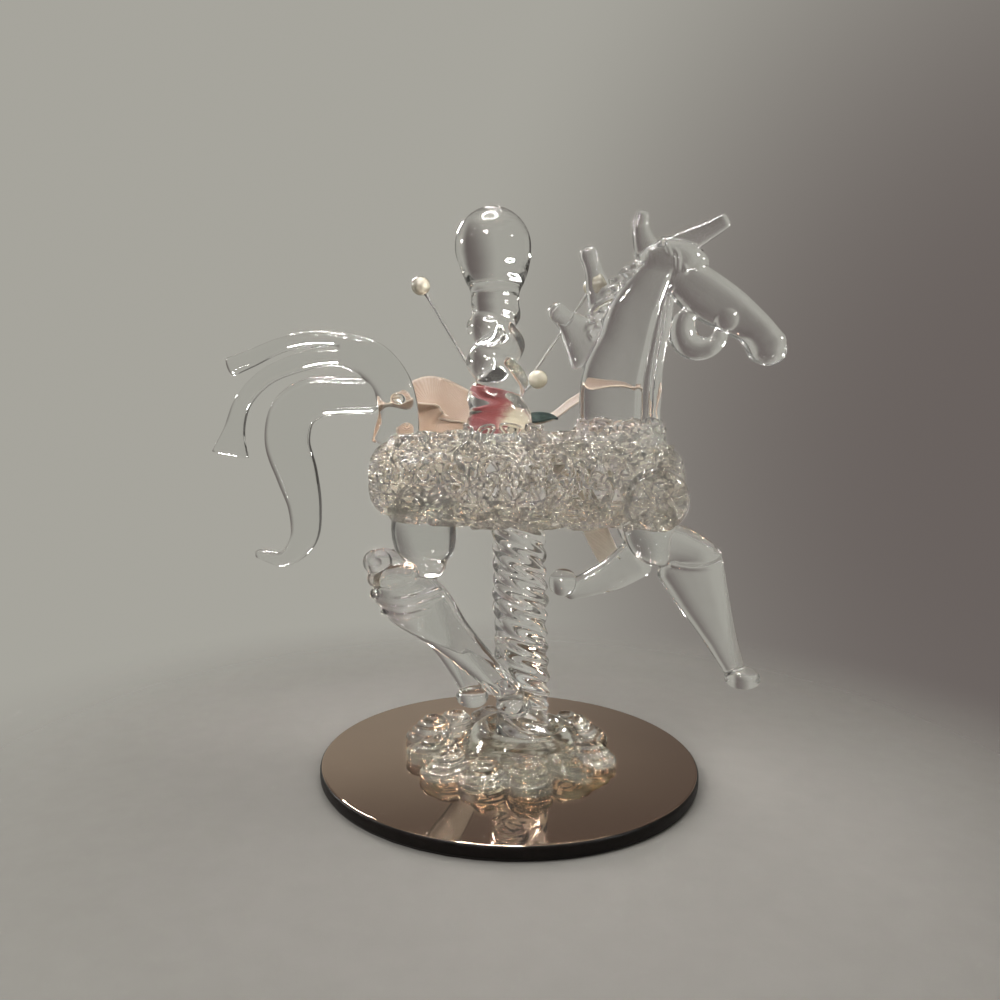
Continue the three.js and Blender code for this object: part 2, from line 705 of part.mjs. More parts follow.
add('mane_crest', largest(cut(crest, neck(seatGap), lowerLock(seatGap), upperLock(seatGap),
  forelock(seatGap))), clearGlass);

// Tail: a thick root on the rump that parts into three locks
const tailX = rumpX + tailSetIn;
const tailTop = barrelTop + tailRise;
function tailRoot(grow) {
  return limb({
    path: [vec(tailX, 0, barrelTop - bury),
      vec(tailX + tailRootWidth * 0.06, 0, mix(barrelTop, tailTop, 0.26)),
      vec(tailX - tailRootWidth * 0.16, 0, mix(barrelTop, tailTop, 0.55)),
      vec(tailX - tailRootWidth * 0.6, 0, mix(barrelTop, tailTop, 0.8))],
    width: [1.05, 0.84, 0.84, 0.72].map((share) => tailRootWidth * share),
    depth: [1, 0.9, 0.8, 0.7].map((share) => tailRootThickness * share),
    startDome: 0,
    grow,
  });
}
const onTail = (reach, fall) => vec(tailX - tailRootWidth * 0.6 - tailReach * reach, 0,
  tailTop + (fall > 0 ? -tailDrop * fall : 0));
function upperTail(grow) {
  return limb({
    path: [onTail(0.0, 0.06), onTail(0.14, 0.018), onTail(0.38, 0), onTail(0.6, 0.035), onTail(0.79, 0.1),
      onTail(0.92, 0.14)],
    width: [1.1, 0.95, 1, 1, 1.2, 1.45].map((share) => upperTailWidth * share),
    depth: [1, 1, 0.9, 0.8, 0.7, 0.5].map((share) => tailThickness * share),
    steps: 10,
    grow,
  });
}
function middleTail(grow) {
  return limb({
    path: [onTail(0.02, 0.12), onTail(0.24, 0.08), onTail(0.47, 0.11), onTail(0.69, 0.19),
      onTail(0.84, 0.32), onTail(0.9, 0.46), onTail(0.93, 0.59)],
    width: [1, 1, 0.96, 1, 1.05, 1.4, 2.4].map((share) => middleTailWidth * share),
    depth: [1, 1, 1, 0.9, 0.8, 0.6, 0.5].map((share) => tailThickness * share),
    steps: 12,
    endDome: 0.3,
    grow,
  });
}
const lowerTail = limb({
  path: [onTail(0.02, 0.285), onTail(0.19, 0.29), onTail(0.38, 0.3), onTail(0.52, 0.375), onTail(0.555, 0.515),
    onTail(0.5, 0.68), onTail(0.44, 0.85), onTail(0.45, 1.01), onTail(0.58, 1.12), onTail(0.74, 1.1)],
  width: [0.86, 0.88, 0.98, 1.08, 1.08, 1, 0.8, 0.66, 0.38, 0.2].map((share) => lowerTailWidth * share),
  depth: [0.8, 0.9, 1, 1.1, 1.2, 1.2, 1.1, 1, 0.8, 0.5].map((share) => tailThickness * share),
  steps: 18,
});
add('tail_root', cut(tailRoot(0), barrelSeat), clearGlass);
add('tail_upper_lock', largest(cut(upperTail(0), tailRoot(seatGap))), clearGlass);
add('tail_middle_lock', largest(cut(middleTail(0), tailRoot(seatGap), upperTail(seatGap))), clearGlass);
add('tail_lower_lock', largest(cut(lowerTail, tailRoot(seatGap), middleTail(seatGap), upperTail(seatGap))),
  clearGlass);

// Hind legs: thigh, hock, cannon and hoof on each side, tucked back under the barrel
const hipX = rumpX + hipSetIn;
function hindLeg(name, y, hoofX, hoofY, hoofBottom, hockX, hockShare) {
  const hoofZ = hoofBottom + hoofHeight / 2;
  const level = (share) => mix(barrelBottom, hoofZ, share);
  const thigh = (grow) => limb({
    path: [vec(hipX, y, barrelBottom + bury), vec(hipX, y, level(0.06)),
      vec(hipX + thighWidth * 0.03, y, level(0.18)), vec(hipX + thighWidth * 0.07, y, level(0.27))],
    width: [0.96, 1, 0.98, 0.78].map((share) => thighWidth * share),
    depth: [1, 1, 1, 0.8].map((share) => thighThickness * share),
    steps: 6,
    startDome: 0,
    grow,
  });
  const hock = (grow) => limb({
    path: [vec(hockX + hockDiameter * 0.62, y, level(hockShare - 0.02)), vec(hockX, y, level(hockShare))],
    width: [hockDiameter, hockDiameter * 0.92],
    depth: [hockDiameter, hockDiameter * 0.92],
    steps: 3,
    endDome: 0.8,
    grow,
  });
  const knee = vec(hipX - thighWidth * 0.16, y, level(0.4));
  const ankle = vec(hoofX, hoofY, hoofZ + hoofHeight * 0.45);
  const cannon = (grow) => limb({
    path: [knee, vec(mix(knee.x, ankle.x, 0.4), mix(y, hoofY, 0.5), mix(knee.z, ankle.z, 0.34)),
      vec(mix(knee.x, ankle.x, 0.74), mix(y, hoofY, 0.85), mix(knee.z, ankle.z, 0.7)), ankle],
    width: [1, 0.6, 0.2, 0].map((share) => mix(hindFetlockWidth, hindCannonWidth, share)),
    depth: [1, 0.55, 0.2, 0].map((share) => mix(hindFetlockThickness, thighThickness * 0.85, share)),
    steps: 8,
    grow,
  });
  const hoof = ellipsoid(vec(hoofX, hoofY, hoofZ), hoofDiameter, hoofDiameter, hoofHeight, 10, 6);
  add(`${name}_thigh`, cut(thigh(0), barrelSeat), clearGlass);
  add(`${name}_hock`, largest(cut(hock(0), thigh(seatGap))), clearGlass);
  add(`${name}_cannon`, largest(cut(cannon(0), thigh(seatGap), hock(seatGap))), clearGlass);
  add(`${name}_hoof`, largest(cut(hoof, cannon(seatGap))), clearGlass);
}
const poleClear = (lowerPoleDiameter + hoofDiameter) / 2 + seatGap;
hindLeg('hind_near', -legSpread, barrelForward - nearHindHoofBack, -poleClear,
  hoofFloor + nearHindHoofLift, hipX - nearHockReach, 0.37);
hindLeg('hind_far', legSpread, barrelForward - farHindHoofBack, legSpread,
  hoofFloor + farHindHoofLift, hipX - farHockReach, 0.22);

// Front legs: the near one reaches forward, the far one is folded back
const shoulderX = chestX - shoulderSetIn;
const elbowZ = barrelBottom - foreUpperWidth * 0.16;
function foreUpper(y, endX, endZ, grow) {
  return limb({
    path: [vec(shoulderX - foreUpperWidth * 0.2, y, barrelBottom + bury), vec(shoulderX, y, elbowZ),
      vec(mix(shoulderX, endX, 0.5), y, mix(elbowZ, endZ, 0.4)), vec(endX, y, endZ)],
    width: [1.1, 1.05, 0.9, 0.7].map((share) => foreUpperWidth * share),
    depth: [1, 1, 0.9, 0.85].map((share) => foreUpperThickness * share),
    steps: 7,
    startDome: 0,
    grow,
  });
}
function foreLeg(name, y, elbow, bend, reach, widths, hoofTilt) {
  const upper = (grow) => foreUpper(y, elbow.x, elbow.z, grow);
  const wrist = elbow.clone().add(reach);
  const lower = (grow) => limb({
    path: [elbow.clone().add(bend), elbow.clone().addScaledVector(bend, 0.65).addScaledVector(reach, 0.3),
      elbow.clone().addScaledVector(bend, 0.35).addScaledVector(reach, 0.64), wrist],
    width: widths,
    depth: [1, 0.95, 0.82, 0.7].map((share) => forearmThickness * share),
    steps: 8,
    grow,
  });
  const tip = wrist.clone().addScaledVector(reach.clone().normalize(), hoofHeight * 0.42).add(hoofTilt);
  const hoof = ellipsoid(tip, hoofDiameter, hoofDiameter, hoofHeight, 10, 6);
  add(`${name}_upper`, cut(upper(0), barrelSeat), clearGlass);
  add(`${name}_lower`, largest(cut(lower(0), upper(seatGap), barrelSeat)), clearGlass);
  add(`${name}_hoof`, largest(cut(hoof, lower(seatGap))), clearGlass);
}
const taper = (base) => [1, 0.68, 0.3, 0].map((share) => mix(foreFetlockWidth, base, share));
const nearElbow = vec(shoulderX + foreUpperLength * 0.85, -legSpread, elbowZ - foreUpperLength * 0.26);
const nearReach = vec(nearForearmLength * slope(nearForearmLean) * 0.74, 0, -nearForearmLength);
foreLeg('fore_near', -legSpread, nearElbow, vec(-nearForearmWidth * 0.16, 0, -nearForearmWidth * 0.14),
  nearReach, taper(nearForearmWidth), vec(hoofDiameter * 0.16, 0, 0));
const farElbow = vec(shoulderX, legSpread, elbowZ - foreUpperLength * 0.36);
const farReach = vec(-farForearmLength * 0.9, 0, -farForearmLength * 0.44);
foreLeg('fore_far', legSpread, farElbow, vec(-farForearmWidth * 0.2, 0, -farForearmWidth * 0.12),
  farReach, taper(farForearmWidth), vec(0, 0, hoofHeight * 0.28));

// Bow: a knot behind the pole's collar, two loops and two tails that lie along the far side
const bowY = collarDiameter / 2 + seatGap * 2 + knotDepth / 2;
const farFace = barrelDepth / 2 + seatGap + ribbonThickness;
const knotCentre = vec(upperFootX, bowY, barrelTop + seatGap + knotHeight / 2);
const knot = (grow) => ellipsoid(knotCentre, knotWidth + 2 * grow, knotDepth + 2 * grow,
  knotHeight + 2 * grow, 12, 8);
// A loop's points run out along the near strand and back along the far one, as shares of its reach
function bowLoop(direction, reach, outline, upwards) {
  const gather = [0.3, 0.6, 1, 1, 1, 1, 0.9, 0.3];
  const path = outline.map(([share, back, raise]) => vec(
    knotCentre.x + direction * (knotWidth * 0.4 + reach * share),
    Math.max(knotCentre.y, farFace) + ribbonThickness * 2 + back,
    knotCentre.z + raise));
  return strip({ path, width: gather.map((share) => loopRibbonWidth * share), upwards, steps: 20 });
}
// The left loop stands on edge, the right one lies over, so that its opening faces the near side
const leftRise = loopRibbonWidth * 0.32;
const leftLoop = bowLoop(-1, leftLoopReach, [[0, 0, 0], [0.3, 0, leftRise * 0.06], [0.72, 0, leftRise],
  [0.96, loopDepth * 0.2, leftRise], [1, loopDepth * 0.55, leftRise], [0.9, loopDepth, leftRise * 0.9],
  [0.5, loopDepth, leftRise * 0.5], [0, loopDepth * 0.42, 0]], upright);
const rightRise = loopRibbonWidth * 0.8;
const rightBack = loopRibbonWidth * 0.3;
const rightLoop = bowLoop(1, rightLoopReach, [[0, rightBack * 0.5, ribbonThickness],
  [0.26, rightBack * 0.8, rightRise * 0.22], [0.46, rightBack, rightRise * 0.64],
  [0.68, rightBack, rightRise], [0.9, rightBack, rightRise * 0.92], [0.96, rightBack, rightRise * 0.4],
  [0.7, rightBack, -ribbonThickness * 2], [0, rightBack * 0.5, -ribbonThickness * 3]], vec(0, 0.97, 0.25));
const roseCentre = knotCentre.clone().add(vec(0, knotDepth * 0.3, (knotHeight + roseHeight) / 2 + seatGap));
const roseRoom = wasm.Manifold.cylinder(roseHeight + 2 * seatGap, roseDiameter / 2 + seatGap,
  roseDiameter / 2 + seatGap, 20, true).translate(roseCentre.toArray());
const bowSeat = [knot(seatGap), roseRoom];
add('bow_knot', knot(0), peachSatin);
add('bow_left_loop', largest(cut(leftLoop, ...bowSeat)), peachSatin);
add('bow_right_loop', largest(cut(rightLoop, ...bowSeat)), peachSatin);
function bowTail(forward, drop, bow, width, thickness = ribbonThickness) {
  const start = knotCentre.clone().add(vec(0, 0, -knotHeight * 0.4)).setY(farFace);
  const end = start.clone().add(vec(forward, 0, -drop));
  const slant = vec(-drop, 0, -forward).normalize();
  const middle = start.clone().lerp(end, 0.5).addScaledVector(slant, bow);
  return strip({ path: [start, middle, end], width: [width * 0.45, width, width], upwards: slant, steps: 8,
    thickness });
}
const shoulderTail = (grow) => bowTail(shoulderTailForward, shoulderTailDrop, -tailRibbonWidth * 0.65,
  tailRibbonWidth + 2 * grow, ribbonThickness + 2 * grow);
const rumpTail = bowTail(-rumpTailBack, rumpTailDrop, 0, rumpRibbonWidth);
add('bow_shoulder_tail', largest(cut(shoulderTail(0), knot(seatGap))), creamSatin);
add('bow_rump_tail', largest(cut(rumpTail, knot(seatGap), shoulderTail(seatGap))), creamSatin);

// Rose: ribbon wound in a spiral, standing on the knot
function rose() {
  const steps = Math.round(roseTurns * 14);
  const points = Array.from({ length: steps + 1 }, (_, step) => {
    const t = step / steps;
    const angle = fullTurn * roseTurns * t;
    const radius = mix(stemDiameter + ribbonThickness * 2, (roseDiameter - ribbonThickness) / 2, t);
    return vec(radius * Math.cos(angle), radius * Math.sin(angle), 0).add(roseCentre);
  });
  return strip({ path: points, width: points.map(() => roseHeight), upwards: upright, steps });
}
add('ribbon_rose', rose(), redSatin);

// Leaf beside the rose, lying flat
const leafRoot = knotCentre.clone().add(vec(knotWidth * 0.34, -knotDepth * 0.2, knotHeight * 0.25));
const leafAlong = vec(1, -0.06, 0.06);
const leaf = limb({
  path: [0, 0.35, 0.7, 1].map((share) => leafRoot.clone().addScaledVector(leafAlong, leafLength * share)),
  width: [1, 1, 0.9, 0.7].map((share) => leafThickness * share),
  depth: [0.4, 1, 0.85, 0.25].map((share) => leafWidth * share),
  steps: 7,
  sides: 8,
});
add('leaf', largest(cut(leaf, ...bowSeat, collar(seatGap))), leafGreen);

// Pearl sprays: a bead on a stiff wire, all three rising from the rose
const roseTop = roseCentre.z + roseHeight / 2 + seatGap;
function spray(number, footShare, depthShare, reach, rise) {
  const foot = vec(roseCentre.x + roseDiameter * footShare, roseCentre.y + roseDiameter * depthShare,
    roseTop);
  const bead = foot.clone().add(vec(reach, 0, rise));
  const wireLength = bead.distanceTo(foot) - pearlDiameter / 2 - seatGap;
  const wireTop = bead.clone().sub(foot).setLength(wireLength).add(foot);
  const wire = solid(thread([foot, wireTop], [acrossBody, acrossBody], stemDiameter, 6));
  add(`pearl_stem_${number}`, wire, wireWhite);
  add(`pearl_${number}`, ellipsoid(bead, pearlDiameter, pearlDiameter, pearlDiameter, 10, 7), pearlCream);
}
spray(1, -0.48, 0, -tailSprayReach, tailSprayRise);
spray(2, 0.38, -0.3, shortSprayReach, shortSprayRise);
spray(3, 0.3, 0.3, headSprayReach, headSprayRise);

export default figurine;
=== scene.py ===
# %% [markdown]
# # A carousel horse of clear glass
# The figurine is lampworked: soft glass rods are drawn, twisted and fused over a torch, and the body is a
# tangle of thin looped thread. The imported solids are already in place, so this lesson only dresses them.
# Sizes of pieces are millimetres, as a maker would note them, and become metres when a piece is made. Sizes
# in a finish are metres, because a shader measures in metres.

# %% Load the frame
import math

import bpy
import numpy as np
from mathutils import Matrix, Vector


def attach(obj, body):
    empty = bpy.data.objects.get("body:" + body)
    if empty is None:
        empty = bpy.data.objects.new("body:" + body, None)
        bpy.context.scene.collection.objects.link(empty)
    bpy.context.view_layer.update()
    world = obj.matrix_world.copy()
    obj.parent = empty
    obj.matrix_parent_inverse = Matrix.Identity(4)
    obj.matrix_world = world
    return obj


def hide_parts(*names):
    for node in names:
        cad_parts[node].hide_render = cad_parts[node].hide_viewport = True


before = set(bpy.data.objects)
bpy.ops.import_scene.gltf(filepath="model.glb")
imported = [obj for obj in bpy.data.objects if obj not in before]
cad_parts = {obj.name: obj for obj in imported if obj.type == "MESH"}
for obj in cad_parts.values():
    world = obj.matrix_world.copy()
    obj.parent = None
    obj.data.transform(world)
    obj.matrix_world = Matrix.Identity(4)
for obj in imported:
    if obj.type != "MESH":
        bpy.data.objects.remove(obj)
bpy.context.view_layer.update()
scene = bpy.context.scene
scene.view_settings.view_transform = "Standard"
per_metre = 1000
print("solids in the frame:", len(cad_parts))

# %% [markdown]
# ## Camera
# The photograph was taken close up, a little above the middle of the horse and tilted down by three
# degrees. A camera takes its place from one matrix: its columns are the right, up and backward directions
# and the position.

# %% Camera
sensor_width = 36
focal_pixels = 743.5
image_pixels = 1000
lens = bpy.data.cameras.new("photo_camera")
lens.sensor_width = sensor_width
lens.lens = sensor_width * focal_pixels / image_pixels
lens.clip_start = 0.005
lens.clip_end = 20
camera = bpy.data.objects.new("photo_camera", lens)
scene.collection.objects.link(camera)
right = (0.99973, 0.01802, 0.01473)
up = (-0.01565, 0.05233, 0.99851)
back = (0.01722, -0.99847, 0.0526)
place = (0, -0.12126, 0.05042)
camera.matrix_world = Matrix([(right[i], up[i], back[i], place[i]) for i in range(3)] + [(0, 0, 0, 1)])
scene.camera = camera
print("camera height:", round(camera.location.z * per_metre, 1), "mm")

# %% [markdown]
# ## Writing shaders as sums
# A shader is a web of nodes, and long webs are hard to read. Here a Wire stands for one value in the web.
# Adding or multiplying two wires adds the Math node that does it, so a mask reads like the sum that it is.
# A Finish holds the web of one material, and every other node comes from its method node.

# %% Wires and finishes
class Wire:
    def __init__(self, tree, socket):
        self.tree = tree
        self.socket = socket

    def math(self, operation, other, swap=False):
        node = self.tree.nodes.new("ShaderNodeMath")
        node.operation = operation
        for number, value in enumerate((other, self) if swap else (self, other)):
            if isinstance(value, Wire):
                self.tree.links.new(value.socket, node.inputs[number])
            else:
                node.inputs[number].default_value = value
        return Wire(self.tree, node.outputs[0])

    def __add__(self, other):
        return self.math("ADD", other)

    def __radd__(self, other):
        return self.math("ADD", other, True)

    def __sub__(self, other):
        return self.math("SUBTRACT", other)

    def __rsub__(self, other):
        return self.math("SUBTRACT", other, True)

    def __mul__(self, other):
        return self.math("MULTIPLY", other)

    def __rmul__(self, other):
        return self.math("MULTIPLY", other, True)


class Finish:
    def __init__(self, owner):
        owner.use_nodes = True
        self.owner = owner
        self.tree = owner.node_tree
        self.tree.nodes.clear()

    def node(self, kind, settings=None, sockets=None, out=0):
        node = self.tree.nodes.new("ShaderNode" + kind)
        for name, value in (settings or {}).items():
            setattr(node, name, value)
        for name, value in (sockets or {}).items():
            if isinstance(value, Wire):
                self.tree.links.new(value.socket, node.inputs[name])
            else:
                node.inputs[name].default_value = value
        return Wire(self.tree, node.outputs[out])

    def mixed(self, share, first, second):
        return self.node("Mix", {"data_type": "RGBA"}, {0: share, 6: first, 7: second}, out=2)

    def ramp(self, value, low, high):
        return self.node("MapRange", {"interpolation_type": "SMOOTHSTEP"},
                         {"Value": value, "From Min": low, "From Max": high})

    def place(self, kind="Object"):
        return self.node("TexCoord", out=kind)

    def axis(self, where, name):
        return self.node("SeparateXYZ", {}, {0: where}, out=name)

    def noise(self, where, size, detail=2.0, roughness=0.5):
        return self.node("TexNoise", {}, {"Vector": where, "Scale": 1 / size, "Detail": detail,
                                          "Roughness": roughness})

    def bump(self, height, strength, distance):
        return self.node("Bump", {}, {"Height": height, "Strength": strength, "Distance": distance})

    def ends(self, shader, kind="OutputMaterial"):
        output = self.tree.nodes.new("ShaderNode" + kind)
        self.tree.links.new(shader.socket, output.inputs["Surface"])
        return self.owner

    def principled(self, sockets):
        return self.ends(self.node("BsdfPrincipled", {}, sockets))


def new_finish(name):
    return Finish(bpy.data.materials.new(name))


def color(red, green, blue):
    return (red, green, blue, 1.0)


print("shader helpers ready")

# %% [markdown]
# ## Room light
# Clear glass has no look of its own: it bends the room. So the room is a pale wall behind the horse, a dark
# front and a black flag at each side. Rays through the middle of a rod see the pale wall, and rays that
# skim its edge are bent to the dark, so thin dark lines draw the glass. The wall dims toward one corner. A
# mirror that saw all of the wall would turn pale, so rays that bounced off a surface see dim eaves above
# it. The camera itself sees only the wall.

# %% Studio world
world = bpy.data.worlds.new("studio")
scene.world = world
sky = Finish(world)
direction = sky.place("Generated")
height = sky.axis(direction, "Z")
sideways = sky.axis(direction, "X")


def facing(target):
    return sky.node("VectorMath", {"operation": "DOT_PRODUCT"}, {0: direction, 1: target}, out="Value")


def ray(kind):
    return sky.node("LightPath", out=f"Is {kind} Ray")


pale_wall = color(0.385, 0.375, 0.335)
dim_wall = color(0.14, 0.12, 0.112)
dull_front = color(0.09, 0.085, 0.078)
dark_front = color(0.06, 0.055, 0.05)
black_flag = color(0.025, 0.023, 0.021)
pale_ceiling = color(0.45, 0.43, 0.4)
wall = sky.mixed(sky.ramp(facing((0.68, 0.73, 0)), 0.64, 0.99), pale_wall, dim_wall)
bounced = ray("Glossy") * (1 - ray("Transmission"))
shade = sky.ramp(facing((0.66, 0.68, 0.32)), 0.66, 0.97) * (1 - sky.ramp(sideways, 0.45, 0.66))
eaves = bounced * sky.ramp(height, 0.36, 0.46) * 0.8
behind = sky.mixed(shade + eaves - shade * eaves, pale_wall, dim_wall)
front = sky.mixed(bounced, dull_front, dark_front)
room = sky.mixed(sky.ramp(facing((0, -1, 0)), -0.3, 0.3), behind, front)
flag = sky.ramp(sideways * sideways, 0.78, 0.86) * (1 - sky.ramp(height, 0.4, 0.5))
flagged = sky.mixed(flag, room, black_flag)
lit = sky.mixed(sky.ramp(height, 0.85, 0.9), flagged, pale_ceiling)
shown = sky.mixed(ray("Camera"), lit, wall)
sky.ends(sky.node("Background", {}, {"Color": shown, "Strength": 1.0}), "OutputWorld")
scene.cycles.max_bounces = 28
scene.cycles.transmission_bounces = 28
scene.cycles.glossy_bounces = 12
scene.cycles.transparent_max_bounces = 16
scene.cycles.sample_clamp_indirect = 60
print("world made:", world.name)

# %% [markdown]
# ## Lamps
# The highlights on the glass are small rings, so five lamps are rings round the horse. Each is a glowing
# torus, because no lamp of Blender's own has that shape. They light only glass and mirror. Two broad soft
# lamps, hidden from the glass, light the ribbons and the floor.

# %% Ring lamps and soft lamps
ring_tube = 2.4
ring_glow = 240
ring_tint = color(1, 0.98, 0.94)


def ring_lamp(name, middle, ring):
    bpy.ops.mesh.primitive_torus_add(location=[c / per_metre for c in middle], major_radius=ring / per_metre,
                                     minor_radius=ring_tube / per_metre, major_segments=64, minor_segments=12)
    lamp = bpy.context.object
    lamp.name = name
    glow = new_finish(name)
    shine = glow.node("Emission", {}, {"Color": ring_tint, "Strength": ring_glow})
    lamp.data.materials.append(glow.ends(shine))
    lamp.visible_camera = False
    lamp.visible_diffuse = False


def soft_lamp(name, middle, target, size, power):
    light = bpy.data.lights.new(name, "AREA")
    light.size = size / per_metre
    light.energy = power
    lamp = bpy.data.objects.new(name, light)
    scene.collection.objects.link(lamp)
    lamp.location = [c / per_metre for c in middle]
    aim = np.array(target) - np.array(middle)
    lamp.rotation_euler = Vector(aim).to_track_quat("-Z", "Y").to_euler()
    lamp.visible_glossy = False
    lamp.visible_transmission = False
    lamp.visible_camera = False


ring_lamp("ring_lamp_over", (-35, -34, 330), 60)
ring_lamp("ring_lamp_front", (-115, -295, 255), 34)
ring_lamp("ring_lamp_right", (260, -160, 200), 30)
ring_lamp("ring_lamp_back", (-140, 330, 245), 34)
ring_lamp("ring_lamp_left", (-310, 90, 170), 30)
soft_lamp("soft_lamp_left", (-330, -220, 380), (0, 0, 45), 300, 1.05)
soft_lamp("soft_lamp_top", (120, 60, 480), (0, 0, 30), 320, 0.6)

# %% [markdown]
# ## Floor
# A plain pale floor that fades out into the wall. The fade depends only on the distance from the middle of
# the floor, so it looks the same from all sides.

# %% Pale floor
def around(sides):
    return np.linspace(0, 2 * math.pi, sides, endpoint=False)


floor_radius = 0.5
floor_sides = 96
fade_start, fade_end = 0.05, 0.12
floor_rim = [(floor_radius * math.cos(t), floor_radius * math.sin(t), 0) for t in around(floor_sides)]
floor_mesh = bpy.data.meshes.new("floor")
floor_mesh.from_pydata(floor_rim, [], [tuple(range(floor_sides))])
floor = bpy.data.objects.new("floor", floor_mesh)
scene.collection.objects.link(floor)
pale = new_finish("floor_paint")
spot = pale.place()
away = pale.node("VectorMath", {"operation": "LENGTH"}, {0: spot}, out="Value")
paint = pale.mixed(pale.noise(spot, 0.004, 3), color(0.4, 0.385, 0.355), color(0.44, 0.425, 0.395))
matt = pale.node("BsdfDiffuse", {}, {"Color": paint})
clear = pale.node("BsdfTransparent")
faded = pale.node("MixShader", {}, {0: pale.ramp(away, fade_start, fade_end), 1: matt, 2: clear})
floor_mesh.materials.append(pale.ends(faded))
print("floor radius:", floor_radius * per_metre, "mm")

# %% [markdown]
# ## Glass
# The glass is colourless and fire-polished. It is almost perfectly smooth, but rods that were drawn and
# pressed by hand keep faint ripples, so a weak bump bends the light a little. The head was pressed and
# looks a little milky, so its glass has more roughness in soft patches.

# %% Glass finish
def glass(name, tint=(0.985, 0.992, 0.988), haze=0.0, milk=0.0, ripple=0.16, ripple_size=0.0042):
    batch = new_finish(name)
    at = batch.place()
    cloud = batch.ramp(batch.noise(at, 0.006, 2), 0.35, 0.75)
    wave = batch.noise(at, ripple_size, 1.0)
    return batch.principled({
        "Base Color": batch.mixed(cloud, color(*tint), color(*(0.5 + 0.5 * t for t in tint))),
        "Roughness": 0.004 + cloud * (0.004 + haze),
        "IOR": 1.5,
        "Transmission Weight": 1.0 - milk,
        "Normal": batch.bump(wave, ripple, 0.0006)})


rod_glass = glass("rod_glass")
thread_glass = glass("thread_glass", tint=(0.975, 0.96, 0.93), haze=0.02, ripple=0.25, ripple_size=0.0015)
head_glass = glass("head_glass", haze=0.1, milk=0.015)
foot_glass = glass("foot_glass", tint=(0.95, 0.955, 0.87), ripple=0.2)
nest_glass = glass("nest_glass", tint=(0.88, 0.85, 0.79), ripple=0.12, ripple_size=0.002)
print("glass finishes:", [m.name for m in bpy.data.materials if "glass" in m.name])

# %% [markdown]
# ## Shaping glass
# Nearly every piece of the horse is a rod that was pulled along a curve while its width and thickness
# changed. So rod lays oval rings along a smooth curve through a few measured points: the place of each
# point, the width and the thickness there. Balls and threads of even thickness have helpers of their own,
# and skin closes a stack of rings into one surface.

# %% Curves and rods
depthwise = np.array([0, 1, 0])


def unit(rows):
    return rows / np.linalg.norm(rows, axis=-1, keepdims=True)


def squared(values, power):
    return np.sign(values) * np.abs(values) ** (2 / power)


def run_along(points):
    return np.concatenate([[0], np.cumsum(np.linalg.norm(np.diff(points, axis=0), axis=1))])


def spline(points, count):
    knots = np.asarray(points, float)
    steps = np.sqrt(np.linalg.norm(np.diff(knots[:, :3], axis=0), axis=1))
    at = np.concatenate([[0], np.cumsum(steps)])
    chord = np.diff(knots, axis=0) / steps[:, None]
    before, after = steps[:-1, None], steps[1:, None]
    middle = (chord[:-1] * after + chord[1:] * before) / (before + after)
    slope = np.concatenate([chord[:1], middle, chord[-1:]])
    fine = np.linspace(0, at[-1], 40 * len(at))
    i = np.clip(np.searchsorted(at, fine, side="right") - 1, 0, len(at) - 2)
    span = steps[i][:, None]
    part = ((fine - at[i]) / steps[i])[:, None]
    rest = 1 - part
    curve = ((1 + 2 * part) * rest ** 2 * knots[i] + part * rest ** 2 * span * slope[i]
             + part * part * (3 - 2 * part) * knots[i + 1] + part * part * (part - 1) * span * slope[i + 1])
    run = run_along(curve[:, :3])
    even = np.linspace(0, run[-1], count)
    return np.stack([np.interp(even, run, column) for column in curve.T], axis=1)


def skin(rings, closed=False):
    rows, sides = len(rings), len(rings[0])
    faces = []
    for row in range(rows if closed else rows - 1):
        here, there = row * sides, (row + 1) % rows * sides
        for side in range(sides):
            turn = (side + 1) % sides
            faces.append((here + side, here + turn, there + turn, there + side))
    if not closed:
        faces.append(tuple(range(sides))[::-1])
        faces.append(tuple(range((rows - 1) * sides, rows * sides)))
    return np.concatenate(rings), faces


def in_plane(rows, y=0):
    return [(x, y, z, wide, deep) for x, z, wide, deep in rows]


def rod(rows, count=44, sides=28, start=1.0, end=1.0, relief=None, flat=2.0):
    line = spline(rows, count)
    middle, wide, deep = line[:, :3], line[:, 3] / 2, line[:, 4] / 2
    along = unit(np.gradient(middle, axis=0))
    out = unit(np.cross(depthwise, along))
    side = np.cross(along, out)
    angle = around(sides)
    rings = []

    def ring(i, shift, scale):
        swell = relief(angle, i / (count - 1)) if relief else 1.0
        x = (squared(np.cos(angle), flat) * wide[i] * scale * swell)[:, None]
        y = (squared(np.sin(angle), flat) * deep[i] * scale * swell)[:, None]
        rings.append(middle[i] + along[i] * shift + x * out[i] + y * side[i])

    tips = np.radians([84, 66, 45, 22])
    first_cap = min(wide[0], deep[0]) * start
    last_cap = min(wide[-1], deep[-1]) * end
    for tip in tips:
        ring(0, -first_cap * math.sin(tip), math.cos(tip))
    for i in range(count):
        ring(i, 0, 1)
    for tip in tips[::-1]:
        ring(count - 1, last_cap * math.sin(tip), math.cos(tip))
    return skin(rings)


def ball(middle, radii, sides=32):
    angle = around(sides)
    rings = []
    for lift in np.radians(np.linspace(-86, 86, 24)):
        rings.append(np.stack([middle[0] + radii[0] * math.cos(lift) * np.cos(angle),
                               middle[1] + radii[1] * math.cos(lift) * np.sin(angle),
                               np.full(sides, middle[2] + radii[2] * math.sin(lift))], axis=1))
    return skin(rings)


